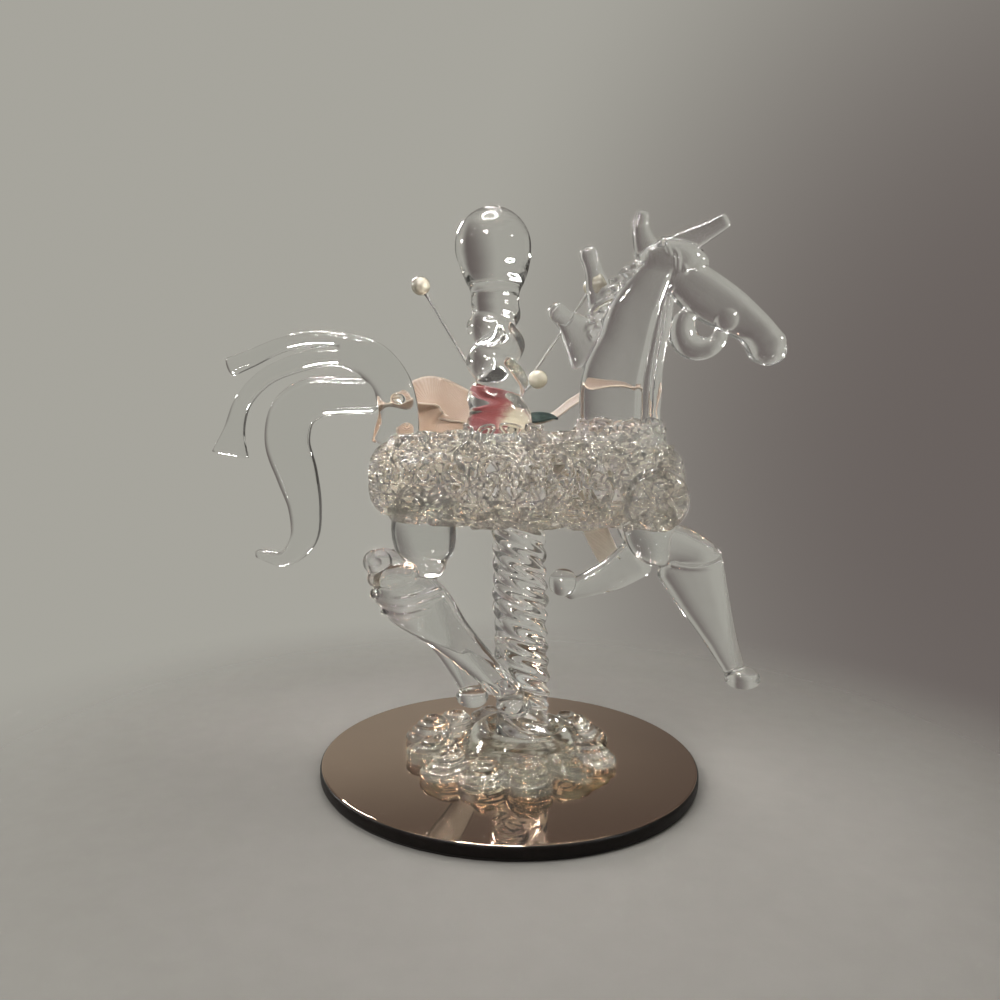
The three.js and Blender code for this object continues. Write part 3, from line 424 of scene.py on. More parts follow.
def thread(points, diameter, sides=6):
    points = np.asarray(points, float)
    nudge = (0.013, 0.021, 0.007)
    along = unit(np.gradient(points, axis=0))
    out = np.empty_like(along)
    out[0] = unit(np.cross(along[0], along[-1] + nudge))
    for i in range(1, len(points)):
        out[i] = unit(out[i - 1] - along[i] * np.dot(out[i - 1], along[i]))
    side = np.cross(along, out)
    turn = around(sides)[:, None]
    radius = np.broadcast_to(np.asarray(diameter, float) / 2, len(points))
    return skin([points[i] + radius[i] * (np.cos(turn) * out[i] + np.sin(turn) * side[i])
                 for i in range(len(points))])


print("a rod of 44 rings has", len(rod([(0, 0, 0, 2, 2), (0, 0, 9, 2, 2)])[0]), "points")

# %% [markdown]
# ## Fusing and dressing
# Rods that were touched together in the flame are one skin. So melted fills them with tiny cells, as
# Blender's voxel remesh does, and eases the result, which gives the soft fillets of fused glass and leaves
# no walls inside. Every piece is then dressed: it gets its finish, rides on the figurine and stands for its
# solids. Thick clear glass hardly shades what is behind it, so those pieces cast no shadow.

# %% Melting and dressing
melt_cell = 0.17


def melted(name, solids, easing, cell):
    points, faces, start = [], [], 0
    for verts, polys in solids:
        points.append(verts)
        faces += [tuple(i + start for i in poly) for poly in polys]
        start += len(verts)
    raw = bpy.data.meshes.new("raw_" + name)
    raw.from_pydata(np.concatenate(points).tolist(), [], faces)
    crucible = bpy.data.objects.new("raw_" + name, raw)
    scene.collection.objects.link(crucible)
    melt = crucible.modifiers.new("melt", "REMESH")
    melt.mode = "VOXEL"
    melt.voxel_size = cell
    ease = crucible.modifiers.new("ease", "SMOOTH")
    ease.factor = 0.5
    ease.iterations = easing
    graph = bpy.context.evaluated_depsgraph_get()
    mesh = bpy.data.meshes.new_from_object(crucible.evaluated_get(graph))
    mesh.name = name
    mesh.transform(Matrix.Scale(1 / per_metre, 4))
    bpy.data.objects.remove(crucible)
    bpy.data.meshes.remove(raw)
    return mesh


def shaped(name, solid):
    points, faces = solid
    mesh = bpy.data.meshes.new(name)
    mesh.from_pydata((points / per_metre).tolist(), [], faces)
    return mesh


def dress(name, mesh, finish, nodes):
    piece = bpy.data.objects.new(name, mesh)
    scene.collection.objects.link(piece)
    if not mesh.materials:
        mesh.materials.append(finish)
    mesh.polygons.foreach_set("use_smooth", [True] * len(mesh.polygons))
    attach(piece, "root")
    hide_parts(*nodes)
    piece.visible_shadow = finish not in (rod_glass, head_glass)
    print(name, len(mesh.polygons), "faces")
    return piece


def fused(name, solids, finish, nodes, easing, cell=melt_cell):
    return dress(name, melted(name, solids, easing, cell), finish, nodes)


print("melting cell:", melt_cell, "mm")

# %% [markdown]
# ## Mirror
# The base is a round of rose-brown mirror glass with a polished edge that looks almost black. A mirror is
# easiest as a tinted metal with hardly any roughness, some film and a little dust. The edge is a second
# finish on the same disc.

# %% Mirror disc
def level_ring(angle, x, y, z, radius):
    return np.stack([x + radius * np.cos(angle), y + radius * np.sin(angle), np.full(len(angle), z)], axis=1)


def turned_disc(profile, sides=160):
    return skin([level_ring(around(sides), 0, 0, z, r) for r, z in profile])


def mirror_finish():
    silver = new_finish("rose_mirror")
    at = silver.place()
    dust = silver.ramp(silver.noise(at, 0.0009, 4, 0.7), 0.58, 0.8)
    film = silver.noise(at, 0.012, 3)
    tint = silver.mixed(film, color(0.47, 0.345, 0.262), color(0.53, 0.39, 0.298))
    return silver.principled({
        "Base Color": silver.mixed(dust * 0.2, tint, color(0.55, 0.48, 0.41)),
        "Metallic": 1.0,
        "Roughness": 0.02 + film * 0.05 + dust * 0.12})


def edge_finish():
    edge = new_finish("mirror_edge")
    chips = edge.noise(edge.place(), 0.0012, 4)
    return edge.principled({
        "Base Color": edge.mixed(chips, color(0.006, 0.005, 0.004), color(0.018, 0.013, 0.012)),
        "Roughness": 0.3 + chips * 0.2,
        "Specular IOR Level": 0.15,
        "Normal": edge.bump(chips, 0.15, 0.0002)})


mirror_profile = [(30.0, 0.2), (30.32, 0.3), (30.46, 0.55), (30.5, 0.8),
                  (30.5, 1.7), (30.44, 1.98), (30.28, 2.14), (30.05, 2.2)]
mirror = shaped("mirror_plate", turned_disc(mirror_profile))
mirror.materials.append(mirror_finish())
mirror.materials.append(edge_finish())
for poly in mirror.polygons:
    poly.material_index = 0 if poly.normal.z > 0.95 else 1
dress("mirror_plate", mirror, None, ["mirror_glass"])
top_face = mirror.polygons[-1]
top_face.use_smooth = False

# %% [markdown]
# ## Lower pole
# The pole is a bundle of five soft ribs that was twisted while hot. Its radius swells along the angle, and
# the swelling turns with the height, so the ribs climb round it. A hand doesn't twist evenly, so the ribs
# also wander and swell a little on the way up.

# %% Ribbed pole
pole_x, pole_low = 2.4, 4.5
rib_bottom, rib_top = 4.8, 41.5
rib_count, rib_rise, rib_middle = 5, 12.6, 4.25
pole_lean = math.tan(math.radians(2.2))


def stacked(levels, centre, radius, sides):
    angle = around(sides)
    return skin([level_ring(angle, *centre(z), z, radius(angle, z)) for z in levels])


def pole_centre(z):
    return pole_x - (z - pole_low) * pole_lean, 0


def rib_radius(angle, z):
    wander = 0.35 * math.sin(0.62 * z) + 0.25 * math.sin(1.7 * z + 1)
    swell = 0.3 + 0.1 * math.sin(0.9 * z + 2)
    turn = angle + 2 * math.pi * (z - rib_bottom) / rib_rise
    return rib_middle + 0.12 * math.sin(0.5 * z) + swell * np.cos(rib_count * turn + wander)


ribs = stacked(np.linspace(rib_bottom, rib_top, 150), pole_centre, rib_radius, 98)
fused("lower_pole_twist", [ribs], rod_glass, ["lower_pole"], 3)

# %% [markdown]
# ## Upper pole and ball
# Above the saddle the pole is a corkscrew: one soft rib winds round a rod, so it bulges by turns to the
# left and to the right. It flares at the foot and ends in a gather of glass that surface tension pulled
# into a ball. The ball was set on the flat end of the corkscrew, and the thin seam between them shows as a
# dark band.

# %% Corkscrew and ball
saddle_z = 55.1
screw_bottom, screw_top = 54.6, 78.4
seam_z, gather_top, ball_z = 78.5, 84.6, 84.65
screw_rise, bulge_z = 5.8, 69.2
foot_x = pole_centre(saddle_z)[0] - 2
upper_lean = math.tan(math.radians(4.4))
ball_x = foot_x - (ball_z - saddle_z) * upper_lean


def screw_centre(z):
    bend = np.interp(z, [55, 68, 80], [0.7, 0.65, 0])
    return foot_x - (z - saddle_z) * upper_lean - bend, 0


def screw_radius(angle, z):
    turn = -2 * math.pi * (z - bulge_z) / screw_rise
    swell = np.interp(z, [56.5, 60, 63, 72.5, 75.5], [0, 0.6, 0.85, 0.8, 0])
    body = np.interp(z, [54.4, 55.4, 57, 59, 62, 66, 70, 74, 76.6, 77.6, 78.6],
                     [4.7, 5.4, 5.3, 4.75, 4.4, 4.25, 4.1, 3.9, 3.85, 4.0, 4.4])
    return body + swell * (2 * np.abs(np.cos((turn - angle) / 2)) - 1.2)


def gather_radius(angle, z):
    return np.interp(z, [78.5, 79.6, 81.2, 83, 84.6], [4.45, 4.95, 5.55, 6, 6.1]) + 0 * angle


screw = stacked(np.linspace(screw_bottom, screw_top, 150), screw_centre, screw_radius, 96)
fused("upper_pole_screw", [screw], rod_glass, ["upper_pole_collar", "upper_pole"], 4)
gather = stacked(np.linspace(seam_z, gather_top, 50), screw_centre, gather_radius, 96)
gather_ball = ball((ball_x, 0, ball_z), (6.15, 6.15, 6.2), 64)
fused("finial_gather", [gather, gather_ball], rod_glass, ["finial_ball"], 6)

# %% [markdown]
# ## Neck, head and mane
# The neck is a flat paddle that was pressed with shallow flutes. The head, the curl of the cheek, the ears,
# the locks and the twisted strands of the mane are rods that were touched on while hot, so they are all
# melted into the neck.

# %% Neck and head
def flutes(angle, t):
    across = np.cos(angle)
    groove = 0.5 - 0.5 * np.cos(2 * math.pi * np.clip((across - 0.19) / 0.42, 0, 1.9))
    return 1 - 0.22 * groove


def cheek_ring():
    angle = around(20)[:, None]
    rings = []
    for bearing in around(48):
        outer = np.array([29.3 + 4.8 * math.cos(bearing), 0, 71.4 + 4.4 * math.sin(bearing)])
        hole = np.array([30.5 + 1.6 * math.cos(bearing), 0, 72.9 + 2.2 * math.sin(bearing)])
        reach = (outer - hole) / 2
        deep = min(1.9, np.linalg.norm(reach) * 1.1)
        rings.append((outer + hole) / 2 + np.cos(angle) * reach + np.sin(angle) * deep * depthwise)
    return skin(rings, True)


neck = rod(in_plane([(17.1, 53.4, 13, 4.6), (17.1, 56.5, 13.1, 4.8), (17.35, 63.6, 13.2, 4.8),
                     (18.8, 69.3, 11.2, 4.8), (20.0, 74.2, 10.4, 4.8), (22.0, 78.7, 8, 4.8),
                     (23.4, 81.6, 6.2, 4.6)]), 70, 64, 0.2, 0.8, flutes, flat=3.4)
head = rod(in_plane([(25.6, 80.8, 6.4, 4.4), (30.0, 77.6, 7.6, 4.7), (34.4, 74.9, 6.9, 4.3),
                     (38.4, 72.0, 5.6, 3.9), (40.4, 69.3, 6.2, 4.6)]), 50, 48, flat=3.2)
eye_boss = ball((33.4, -1.7, 73.4), (1.9, 0.9, 1.9))
muzzle = ball((40.7, 0, 68.9), (2.9, 2.3, 2.6))
lip = ball((38.9, 0, 68.8), (1.5, 1.7, 1.8))
forelock = rod(in_plane([(21.8, 82.6, 4.8, 4.8), (24.4, 83.0, 5.8, 5.2), (27.0, 82.6, 5.6, 5.2),
                         (28.4, 82.0, 4.8, 4.6)]), 40, 40, flat=2.8)
ear_forward = rod(in_plane([(22.8, 84.4, 2.6, 2.0), (26.8, 85.6, 3.6, 1.9), (30.4, 87.4, 2.8, 1.8),
                            (33.0, 89.0, 2.4, 1.7)]), 36, 40, flat=4)
ear_upright = rod(in_plane([(21.6, 82.8, 5.2, 2.8), (20.3, 85.8, 3.6, 2.4), (19.8, 88.0, 2.6, 2.1),
                            (20.0, 89.7, 2.2, 2.0)]), 36, 40, flat=3)
head_parts = [neck, head, muzzle, lip, eye_boss, cheek_ring(), forelock, ear_forward, ear_upright]
print("parts of the neck and head:", len(head_parts))


# %% Mane
def twisted(rows, strands, turns, spread, thick, steps=48):
    line = spline(rows, steps)
    along = unit(np.gradient(line, axis=0))
    out = unit(np.cross(depthwise, along))
    parts = []
    for strand in range(strands):
        turn = 2 * math.pi * (turns * np.linspace(0, 1, steps) + strand / strands)[:, None]
        parts.append(thread(line + spread * (np.cos(turn) * out + np.sin(turn) * depthwise), thick, 12))
    return parts


lower_lock = rod(in_plane([(12.6, 68.2, 8.6, 2.6), (10.2, 71.2, 6.0, 2.4), (8.0, 73.3, 3.4, 2.5),
                           (6.6, 74.5, 3.2, 2.8)]), 36, 40, flat=3)
upper_lock = rod(in_plane([(14.3, 74.8, 5.2, 2.4), (13.2, 78.4, 4.0, 2.4), (12.3, 81.4, 2.8, 2.4),
                           (11.6, 83.6, 3.1, 2.7)]), 36, 40, flat=3)
crest = twisted([(12.0, -0.3, 70.4), (13.4, -0.3, 75.0), (17.0, -0.3, 79.4), (20.8, -0.3, 82.2),
                 (23.6, -0.3, 84.4)], 4, 1.6, 1.0, 1.15)
crest += twisted([(11.6, 0.2, 69.4), (13.0, 0.2, 72.2), (14.8, 0.2, 76.4)], 3, 1.2, 0.8, 1.0)
wrap = twisted([(28.9, -0.2, 84.4), (28.6, -0.2, 82.2), (27.6, -0.2, 79.8)], 2, 1.5, 0.5, 0.8)
wrap += twisted([(22.4, -2.4, 85.2), (24.6, -2.5, 83.2), (26.4, -2.2, 80.2)], 2, 1.2, 0.45, 0.75)
fused("neck_head_mane", [*head_parts, lower_lock, upper_lock, *crest, *wrap], head_glass,
      ["neck", "head", "cheek_curl", "forelock", "ear_forward", "ear_upright", "mane_lower_lock",
       "mane_upper_lock", "mane_crest"], 4)

# %% [markdown]
# ## Tail
# The tail is a flat rod that rises from the rump and was split into three locks. Each lock is pulled out
# and curls over, the lowest one down to a small hook.

# %% Tail locks
tail_root = rod(in_plane([(-19.2, 53, 7.8, 3.2), (-18.8, 58.6, 6.4, 3.0), (-20.2, 63, 6.4, 3.0),
                          (-23.4, 66.5, 6.2, 3.0), (-28.2, 68.2, 5.4, 2.8)]), 50, 44, 0.3, 0.6, flat=4)
tail_upper = rod(in_plane([(-22.6, 67.6, 2.7, 2.8), (-26.6, 69.2, 2.3, 2.8), (-32.6, 69.7, 2.4, 2.6),
                           (-38.1, 68.6, 2.4, 2.3), (-42.8, 66.5, 2.8, 1.9), (-46.2, 65.1, 3.2, 1.4)]),
                 60, 40, flat=3)
tail_middle = rod(in_plane([(-23.2, 65.8, 2.6, 2.8), (-29.2, 67.0, 3.2, 2.8), (-35, 65.9, 3.0, 2.7),
                            (-40.6, 63.4, 2.7, 2.5), (-44.3, 59.3, 2.7, 2.3), (-45.7, 54.8, 3.5, 1.8),
                            (-46.4, 50.8, 6.2, 1.4)]), 70, 40, 1, 0.3, flat=3)
tail_lower = rod(in_plane([(-23.2, 60.6, 5.6, 2.4), (-28, 60.5, 5.9, 2.4), (-32.6, 60.2, 6.6, 2.6),
                           (-36.0, 57.8, 7.3, 2.9), (-37.0, 53.2, 7.3, 3.1), (-35.4, 47.7, 6.7, 3.3),
                           (-34.1, 42.4, 5.4, 3.1), (-34.3, 37.2, 4.4, 2.8), (-37.4, 33.8, 2.6, 2.2),
                           (-41.6, 34.5, 1.5, 1.5)]), 90, 44, flat=3.6)
knuckle = ball((-18.8, 0, 60.2), (1.2, 2.2, 0.8))
fused("tail_locks", [tail_root, tail_upper, tail_middle, tail_lower, knuckle], rod_glass,
      ["tail_root", "tail_upper_lock", "tail_middle_lock", "tail_lower_lock"], 7)

# %% [markdown]
# ## Legs
# Each leg is a few gathers of glass fused end to end, with a flattened button for the hoof and on the hind
# legs a knob for the hock. Threads of soft glass were drawn across the near legs, where they show as seams.

# %% Hind legs
def hind_leg(name, thigh, cannon, gathers, hoof):
    sole = (hoof[0], hoof[1], hoof[2] - 0.6)
    parts = [rod(thigh, 50, 36), rod(cannon, 70, 40, flat=2.5), *gathers]
    parts += [ball(hoof, (2.8, 2.75, 1.7)), ball(sole, (2.5, 2.5, 1.2))]
    nodes = [name + part for part in ("_thigh", "_hock", "_cannon", "_hoof")]
    fused(name + "_leg", parts, rod_glass, nodes, 6)


sweep_steps = 40
sweep_width = np.interp(np.linspace(0, 1, sweep_steps), [0, 0.4, 1], [0.5, 1.3, 0.5])
near_thigh = [(-14.0, -4.7, 44, 9.0, 6.2), (-14.0, -4.7, 39.6, 10.2, 7.6), (-13.6, -4.8, 36.2, 9.2, 7.4),
              (-13.5, -4.9, 34.3, 6.6, 5.8)]
near_cannon = [(-19.4, -5.2, 30.4, 6.6, 4.0), (-16.8, -5.2, 29.2, 9.4, 4.4), (-13.9, -5.2, 27.2, 9.4, 4.4),
               (-8.8, -6.2, 22.6, 6.2, 4.0), (-3.7, -7.3, 18.0, 4.6, 3.3), (0.6, -7.65, 13.9, 3.9, 2.8)]
near_hock = [(-21.0, -6.8, 31.9, 2.9, 3.0), (-18.4, -7.2, 32.2, 3.6, 3.4), (-15.8, -7.3, 33.1, 3.2, 3.0)]
near_gathers = [ball((-20.9, -6.5, 34.4), (2.3, 2.1, 2.1)), ball((-21.0, -6.4, 29.5), (1.1, 1.1, 1.0)),
                rod(near_hock, 30)]
for low, high in ((28.6, 30.6), (27.4, 29.2), (26.2, 27.6)):
    sweep = [(-20.4, -6.4, low + 0.4), (-17.0, -7.4, low), (-13.4, -7.4, (low + high) / 2),
             (-10.8, -6.8, high)]
    near_gathers.append(thread(spline(sweep, sweep_steps), sweep_width, 12))
hind_leg("hind_near", near_thigh, near_cannon, near_gathers, (0.65, -7.65, 12.5))
far_thigh = in_plane([(-14.6, 44, 8.4, 4.6), (-15.2, 39.4, 9.4, 5.6), (-15.6, 36, 9.0, 5.4),
                      (-15.8, 33.4, 7.6, 4.8)], 4.6)
far_cannon = in_plane([(-20.6, 32.6, 5.4, 4.6), (-18.6, 30.2, 7.4, 4.8), (-16.0, 26.8, 8.0, 4.8),
                       (-12.6, 21.8, 6.2, 4.0), (-9.1, 16.2, 4.7, 3.3), (-6.6, 11.6, 3.9, 2.8)], 4.6)
hind_leg("hind_far", far_thigh, far_cannon, [ball((-21.6, 4.6, 33.1), (2.8, 2.3, 2.2))], (-6.45, 4.6, 9.9))


# %% Front legs
def front_leg(name, y, upper, lower, hoof, radii, pressed=()):
    shoulder = rod(in_plane(shoulder_top + upper, y), 40, 40, 0.3, flat=2.6)
    forearm = rod(in_plane(lower, y), 44, 40, flat=3)
    button = ball((hoof[0], y, hoof[1]), radii)
    nodes = [name + part for part in ("_upper", "_lower", "_hoof")]
    fused(name + "_leg", [shoulder, forearm, button, *pressed], rod_glass, nodes, 7)


shoulder_top = [(20.8, 42, 8.2, 5.2), (22.3, 38.4, 7.9, 5.2)]
knee_seam = spline([(24.4, -6.6, 34.9), (27.4, -6.8, 34.4), (30.0, -6.8, 34.6), (32.4, -6.2, 35.5)], 30)
near_pressed = [ball((22.2, -6.9, 44.8), (5.0, 1.6, 5.0)), ball((20.0, -7.2, 43.4), (3.0, 1.5, 2.6)),
                thread(knee_seam, 0.8, 10)]
front_leg("fore_near", -4.6, [(25.8, 37.5, 6.8, 4.8), (29.6, 36.2, 5.4, 4.5)],
          [(27.8, 34.8, 10.6, 4.4), (29.9, 29.9, 8.4, 4.2), (32.5, 24.2, 5.5, 3.6), (35.2, 18.4, 3.4, 3.1)],
          (36.7, 16.7), (2.8, 2.75, 1.75), near_pressed)
front_leg("fore_far", 4.6, [(22.3, 36.6, 6.8, 4.8), (21.9, 35.0, 6.2, 4.5)],
          [(21.0, 34.2, 6.8, 4.4), (17.4, 31.7, 5.6, 4.1), (13.5, 29.9, 4.3, 3.6), (10.2, 28.7, 3.4, 3.1)],
          (8.8, 29.9), (2.5, 2.6, 2.4))

# %% [markdown]
# ## Looped body
# The barrel is spun work: a thin thread was laid in loops, row upon row, each crest touching the next row.
# The rows here are waves with small overlapping loops, in two layers, and seeded chance shifts every loop a
# little, as a hand does. The rows of each side are melted together, so that crossings fuse. Tufts of the
# same thread bind the neck and the pole to the back.

# %% Spun rows
dice = np.random.default_rng(7)
barrel_x, barrel_z = 2.05, 47.3
barrel_deep, barrel_tall, barrel_square = 7.5, 7.8, 2.6
row_half = 24.9
side_cell = 0.2
tuft_thread = 0.95
spun_layers = [(0.5, 4, 10, 1.15), (2.2, 2, 8, 1.3)]


def shaken(t, knots, spread):
    return np.interp(t, np.linspace(t[0], t[-1], knots), dice.normal(0, spread, knots))


def blunt(share):
    return (1 - np.abs(share) ** 4) ** 0.25


def barrel_point(x, share, turn, inset):
    y = -(barrel_deep - inset) * share * squared(np.sin(turn), barrel_square)
    z = barrel_z + (barrel_tall - inset) * share * squared(np.cos(turn), barrel_square)
    return np.stack([x, y, z], axis=1)


def spun_row(turn, row_turn, loops, inset, reach, flip, thick):
    t = np.linspace(0, 1, loops * 12 + 1)
    shake = shaken(t, loops * 2, 0.22)
    lift = shaken(t, loops * 2, 0.28)
    phase = 2 * math.pi * loops * t + math.pi * flip + shake
    share = (2 * t - 1) * reach
    x = barrel_x + share * row_half + 1.25 * np.sin(2 * phase + shake * 2)
    sway = turn + row_turn * (0.6 * np.cos(phase) + 0.3 * shake)
    deep = np.clip(inset + lift * 2.0 + 0.35 * np.sin(phase * 1.5), 0.1, 6)
    return thread(barrel_point(x, blunt(np.clip(share, -0.985, 0.985)), sway, deep), thick)


def spun_side(name, middle, node, extra=()):
    rows = []
    for layer, (inset, row_count, loops, thick) in enumerate(spun_layers):
        row_turn = math.pi / 2 / row_count
        for row in range(row_count):
            turn = middle + (row - (row_count - 1) / 2) * row_turn
            rows.append(spun_row(turn, row_turn, loops, inset, 0.9 - 0.04 * layer, row % 2, thick))
    fused(name, rows + list(extra), thread_glass, [node], 3, side_cell)


def tuft(middle, radii, waves, low, high):
    t = np.linspace(0, 2 * math.pi, waves * 16 + 1)
    shake = shaken(t, waves * 2, 0.5)
    bearing = t + 0.16 * np.sin(2 * waves * t)
    x = middle + (radii[0] + 0.5 * shake) * np.cos(bearing)
    y = (radii[1] + 0.5 * shake) * np.sin(bearing)
    z = (low + high) / 2 + (high - low) / 2 * np.cos(waves * t + shake) + 0.3 * shake
    return thread(np.column_stack([x, y, z]), tuft_thread)


tufts = [tuft(17.1, (6.6, 3.4), 9, 54.6, 57.2), tuft(17.1, (7.2, 4.2), 11, 53.8, 56.0),
         tuft(foot_x, (5.9, 5.9), 9, 53.9, 55.9)]
spun_side("spun_back", 0, "lattice_back", tufts)
spun_side("spun_near_side", math.pi / 2, "lattice_near_side")
spun_side("spun_belly", math.pi, "lattice_belly")
spun_side("spun_far_side", -math.pi / 2, "lattice_far_side")

# %% Spun ends
end_half = 25.45
end_cell = 0.22
end_thread = 0.9
end_rings = [(0.74, 0.12, 9, 0.45), (0.52, 0.12, 8, 0.45), (0.28, 0.12, 5, 0.45), (0.62, 0.14, 8, 1.6),
             (0.34, 0.14, 6, 1.6)]


def spun_end(name, end, node):
    rings = []
    for share, sway, waves, inset in end_rings:
        t = np.linspace(0, 2 * math.pi, waves * 14 + 1)
        size = share + sway * np.cos(waves * t + shaken(t, waves * 2, 0.25))
        x = barrel_x + end * (end_half - inset) * blunt(np.clip(size, 0, 0.985))
        bearing = t + 0.12 * np.sin(2 * waves * t)
        rings.append(thread(barrel_point(x, size, bearing, inset), end_thread))
    fused(name, rings, thread_glass, [node], 4, end_cell)


spun_end("spun_chest", 1, "lattice_chest")
spun_end("spun_rump", -1, "lattice_rump")

# %% [markdown]
# ## Foot and nest
# The pole stands in a clear dish with a rolled rim. Round it lies a nest of scalloped curls: a thicker
# thread wound loop by loop, each loop touching the last, so that every curl looks like a ribbed shell.

# %% Foot dish
foot_profile = [(0.4, 2.3), (9.6, 2.3), (10.2, 2.8), (10.2, 3.6), (9.8, 4.4), (9.2, 5.2), (8.6, 6.0),
                (7.7, 6.7), (6.7, 7.0), (5.9, 6.7), (5.5, 6.0), (5.2, 5.3), (4.9, 4.8), (0.4, 4.6)]
dish_points, dish_faces = turned_disc(foot_profile, 96)
dish = (dish_points + (pole_x, 0, 0), dish_faces)
foot_bead = ball((11.7, 2.2, 6.7), (1.3, 1.3, 1.25))
dish_cell = 0.18
fused("foot_dish", [dish, foot_bead], foot_glass, ["pole_foot"], 6, dish_cell)


# %% Nest of curls
def pile(bearing, out, size, low, high, turns, thick):
    cosine, sine = math.cos(bearing), math.sin(bearing)
    tilt = dice.normal(0, 0.1)

    def placed(along, beside, z):
        return np.column_stack([cosine * along - sine * beside, sine * along + cosine * beside,
                                z + tilt * beside])

    t = np.linspace(0, 1, int(turns * 26) + 1)
    shake = shaken(t, 9, 0.1)
    turn = 2 * math.pi * (turns * t + dice.uniform())
    shell = size * (1 - 0.7 * t)
    radius = shell + shake
    middle = out - 0.28 * size * t
    height = low + (high - low) * t
    coil = placed(middle + 1.05 * radius * np.cos(turn), 0.98 * radius * np.sin(turn), height + shake)
    sides = 32
    angle = around(sides)
    sunk = height[::6] - 0.5 * (t[::6] == 0)
    core = [placed(m + 1.02 * r * np.cos(angle), 0.96 * r * np.sin(angle), np.full(sides, z))
            for m, r, z in zip(middle[::6], shell[::6], sunk)]
    return [thread(coil, thick, 8), skin(core)]


for number in range(6):
    curls = []
    for half in (0.25, 0.75):
        bearing = math.pi / 3 * (number + half) + dice.normal(0, 0.03)
        curls += pile(bearing, out=14.1 + dice.normal(0, 0.3), size=3.6, low=2.9,
                      high=5.6 + dice.normal(0, 0.4), turns=3.4, thick=1.15)
        curls += pile(bearing + 0.26, out=11.0, size=1.6, low=3.2, high=5.4, turns=2.2, thick=1.1)
    fused(f"nest_shell_{number + 1}", curls, nest_glass, [f"nest_curl_{number + 1}"], 3)

# %% [markdown]
# ## Ribbon
# The bow is a satin ribbon about ten millimetres wide. Satin is a fabric whose long floats catch the light,
# so it has a fine weave in the bump and a soft sheen. Its edges are painted paler: partly a paler selvedge,
# partly a painted highlight where the edges catch the light. Each loop is a strip that turns back on itself
# and is gathered at the knot, and each tail is a strip that hangs from it. Such narrow strips are laid
# directly along a curve and then get the thickness of the cloth.

# %% Satin finish
def satin(name, body, light, half_width):
    cloth = new_finish(name)
    at = cloth.place("UV")
    warp = cloth.node("TexWave", {"bands_direction": "X"}, {"Vector": at, "Scale": 1300, "Distortion": 0.5})
    weft = cloth.node("TexWave", {"bands_direction": "Y"}, {"Vector": at, "Scale": 1500, "Distortion": 0.5})
    blotch = cloth.noise(cloth.place(), 0.003, 3)
    weave = warp * 0.6 + weft * 0.4
    woven = cloth.mixed(cloth.ramp(weave, 0.2, 0.9) * 0.14 + blotch * 0.6, color(*body), color(*light))
    beside = cloth.axis(at, "Y")
    # The paler edge band is partly a selvedge and partly a painted highlight along both edges of every strip.
    selvedge_and_edge_highlight = cloth.ramp(beside * beside, 0.8 * half_width ** 2, 0.95 * half_width ** 2)
    return cloth.principled({
        "Base Color": cloth.mixed(selvedge_and_edge_highlight * 0.5, woven, color(0.85, 0.74, 0.6)),
        "Roughness": 0.24 + weave * 0.16,
        "Sheen Weight": 0.35,
        "Sheen Roughness": 0.4,
        "Normal": cloth.bump(weave, 0.4, 0.0002)})


peach = satin("peach_satin", (0.4, 0.25, 0.165), (0.53, 0.4, 0.29), 0.0049)
# The cream is painted lighter, to make up for the shade that the tails hang in under the body.
cream = satin("cream_satin", (0.88, 0.8, 0.66), (0.96, 0.91, 0.8), 0.0045)
print("satin finishes:", peach.name, cream.name)


# %% Strips of ribbon
cloth_thickness = 0.00022


def strip(name, rows, upward, cup=0.5, wave=0.0, count=90, columns=12):
    line = spline(rows, count)
    middle, wide = line[:, :3], line[:, 3] / 2
    along = unit(np.gradient(middle, axis=0))
    if np.ndim(upward) == 2:
        guide = spline(np.column_stack([np.asarray(rows)[:, :3], upward]), count)[:, 3:6]
    else:
        guide = np.broadcast_to(upward, middle.shape)
    rise = unit(guide - along * np.sum(guide * along, axis=1, keepdims=True))
    face = np.cross(along, rise)
    run = run_along(middle)
    points, uvs = [], []
    for i in range(count):
        for j in range(columns + 1):
            v = 2 * j / columns - 1
            push = cup * (v * v - 0.4) + wave * math.sin(run[i] * 0.55 + 2.2 * v)
            points.append((middle[i] + rise[i] * wide[i] * v + face[i] * push) / per_metre)
            uvs.append((run[i] / per_metre, v * wide.max() / per_metre))
    step = columns + 1
    faces = [(i * step + j, i * step + j + 1, (i + 1) * step + j + 1, (i + 1) * step + j)
             for i in range(count - 1) for j in range(columns)]
    mesh = bpy.data.meshes.new(name)
    mesh.from_pydata(points, [], faces)
    layer = mesh.uv_layers.new(name="weave")
    corner_points = np.empty(len(mesh.loops), int)
    mesh.loops.foreach_get("vertex_index", corner_points)
    layer.data.foreach_set("uv", np.asarray(uvs)[corner_points].ravel())
    return mesh, run[-1] / per_metre


def thicken(piece, thickness, offset=-1):
    body = piece.modifiers.new("body", "SOLIDIFY")
    body.thickness = thickness
    body.offset = offset


def declare(piece, length):
    print(piece.name, "is", round(length * per_metre, 1), "mm long")


def ribbon(name, rows, upward, finish, slot, node, held, **shape):
    mesh, length = strip(name, rows, upward, **shape)
    piece = dress(name, mesh, finish, [node])
    thicken(piece, cloth_thickness, 0)
    declare(piece, length)


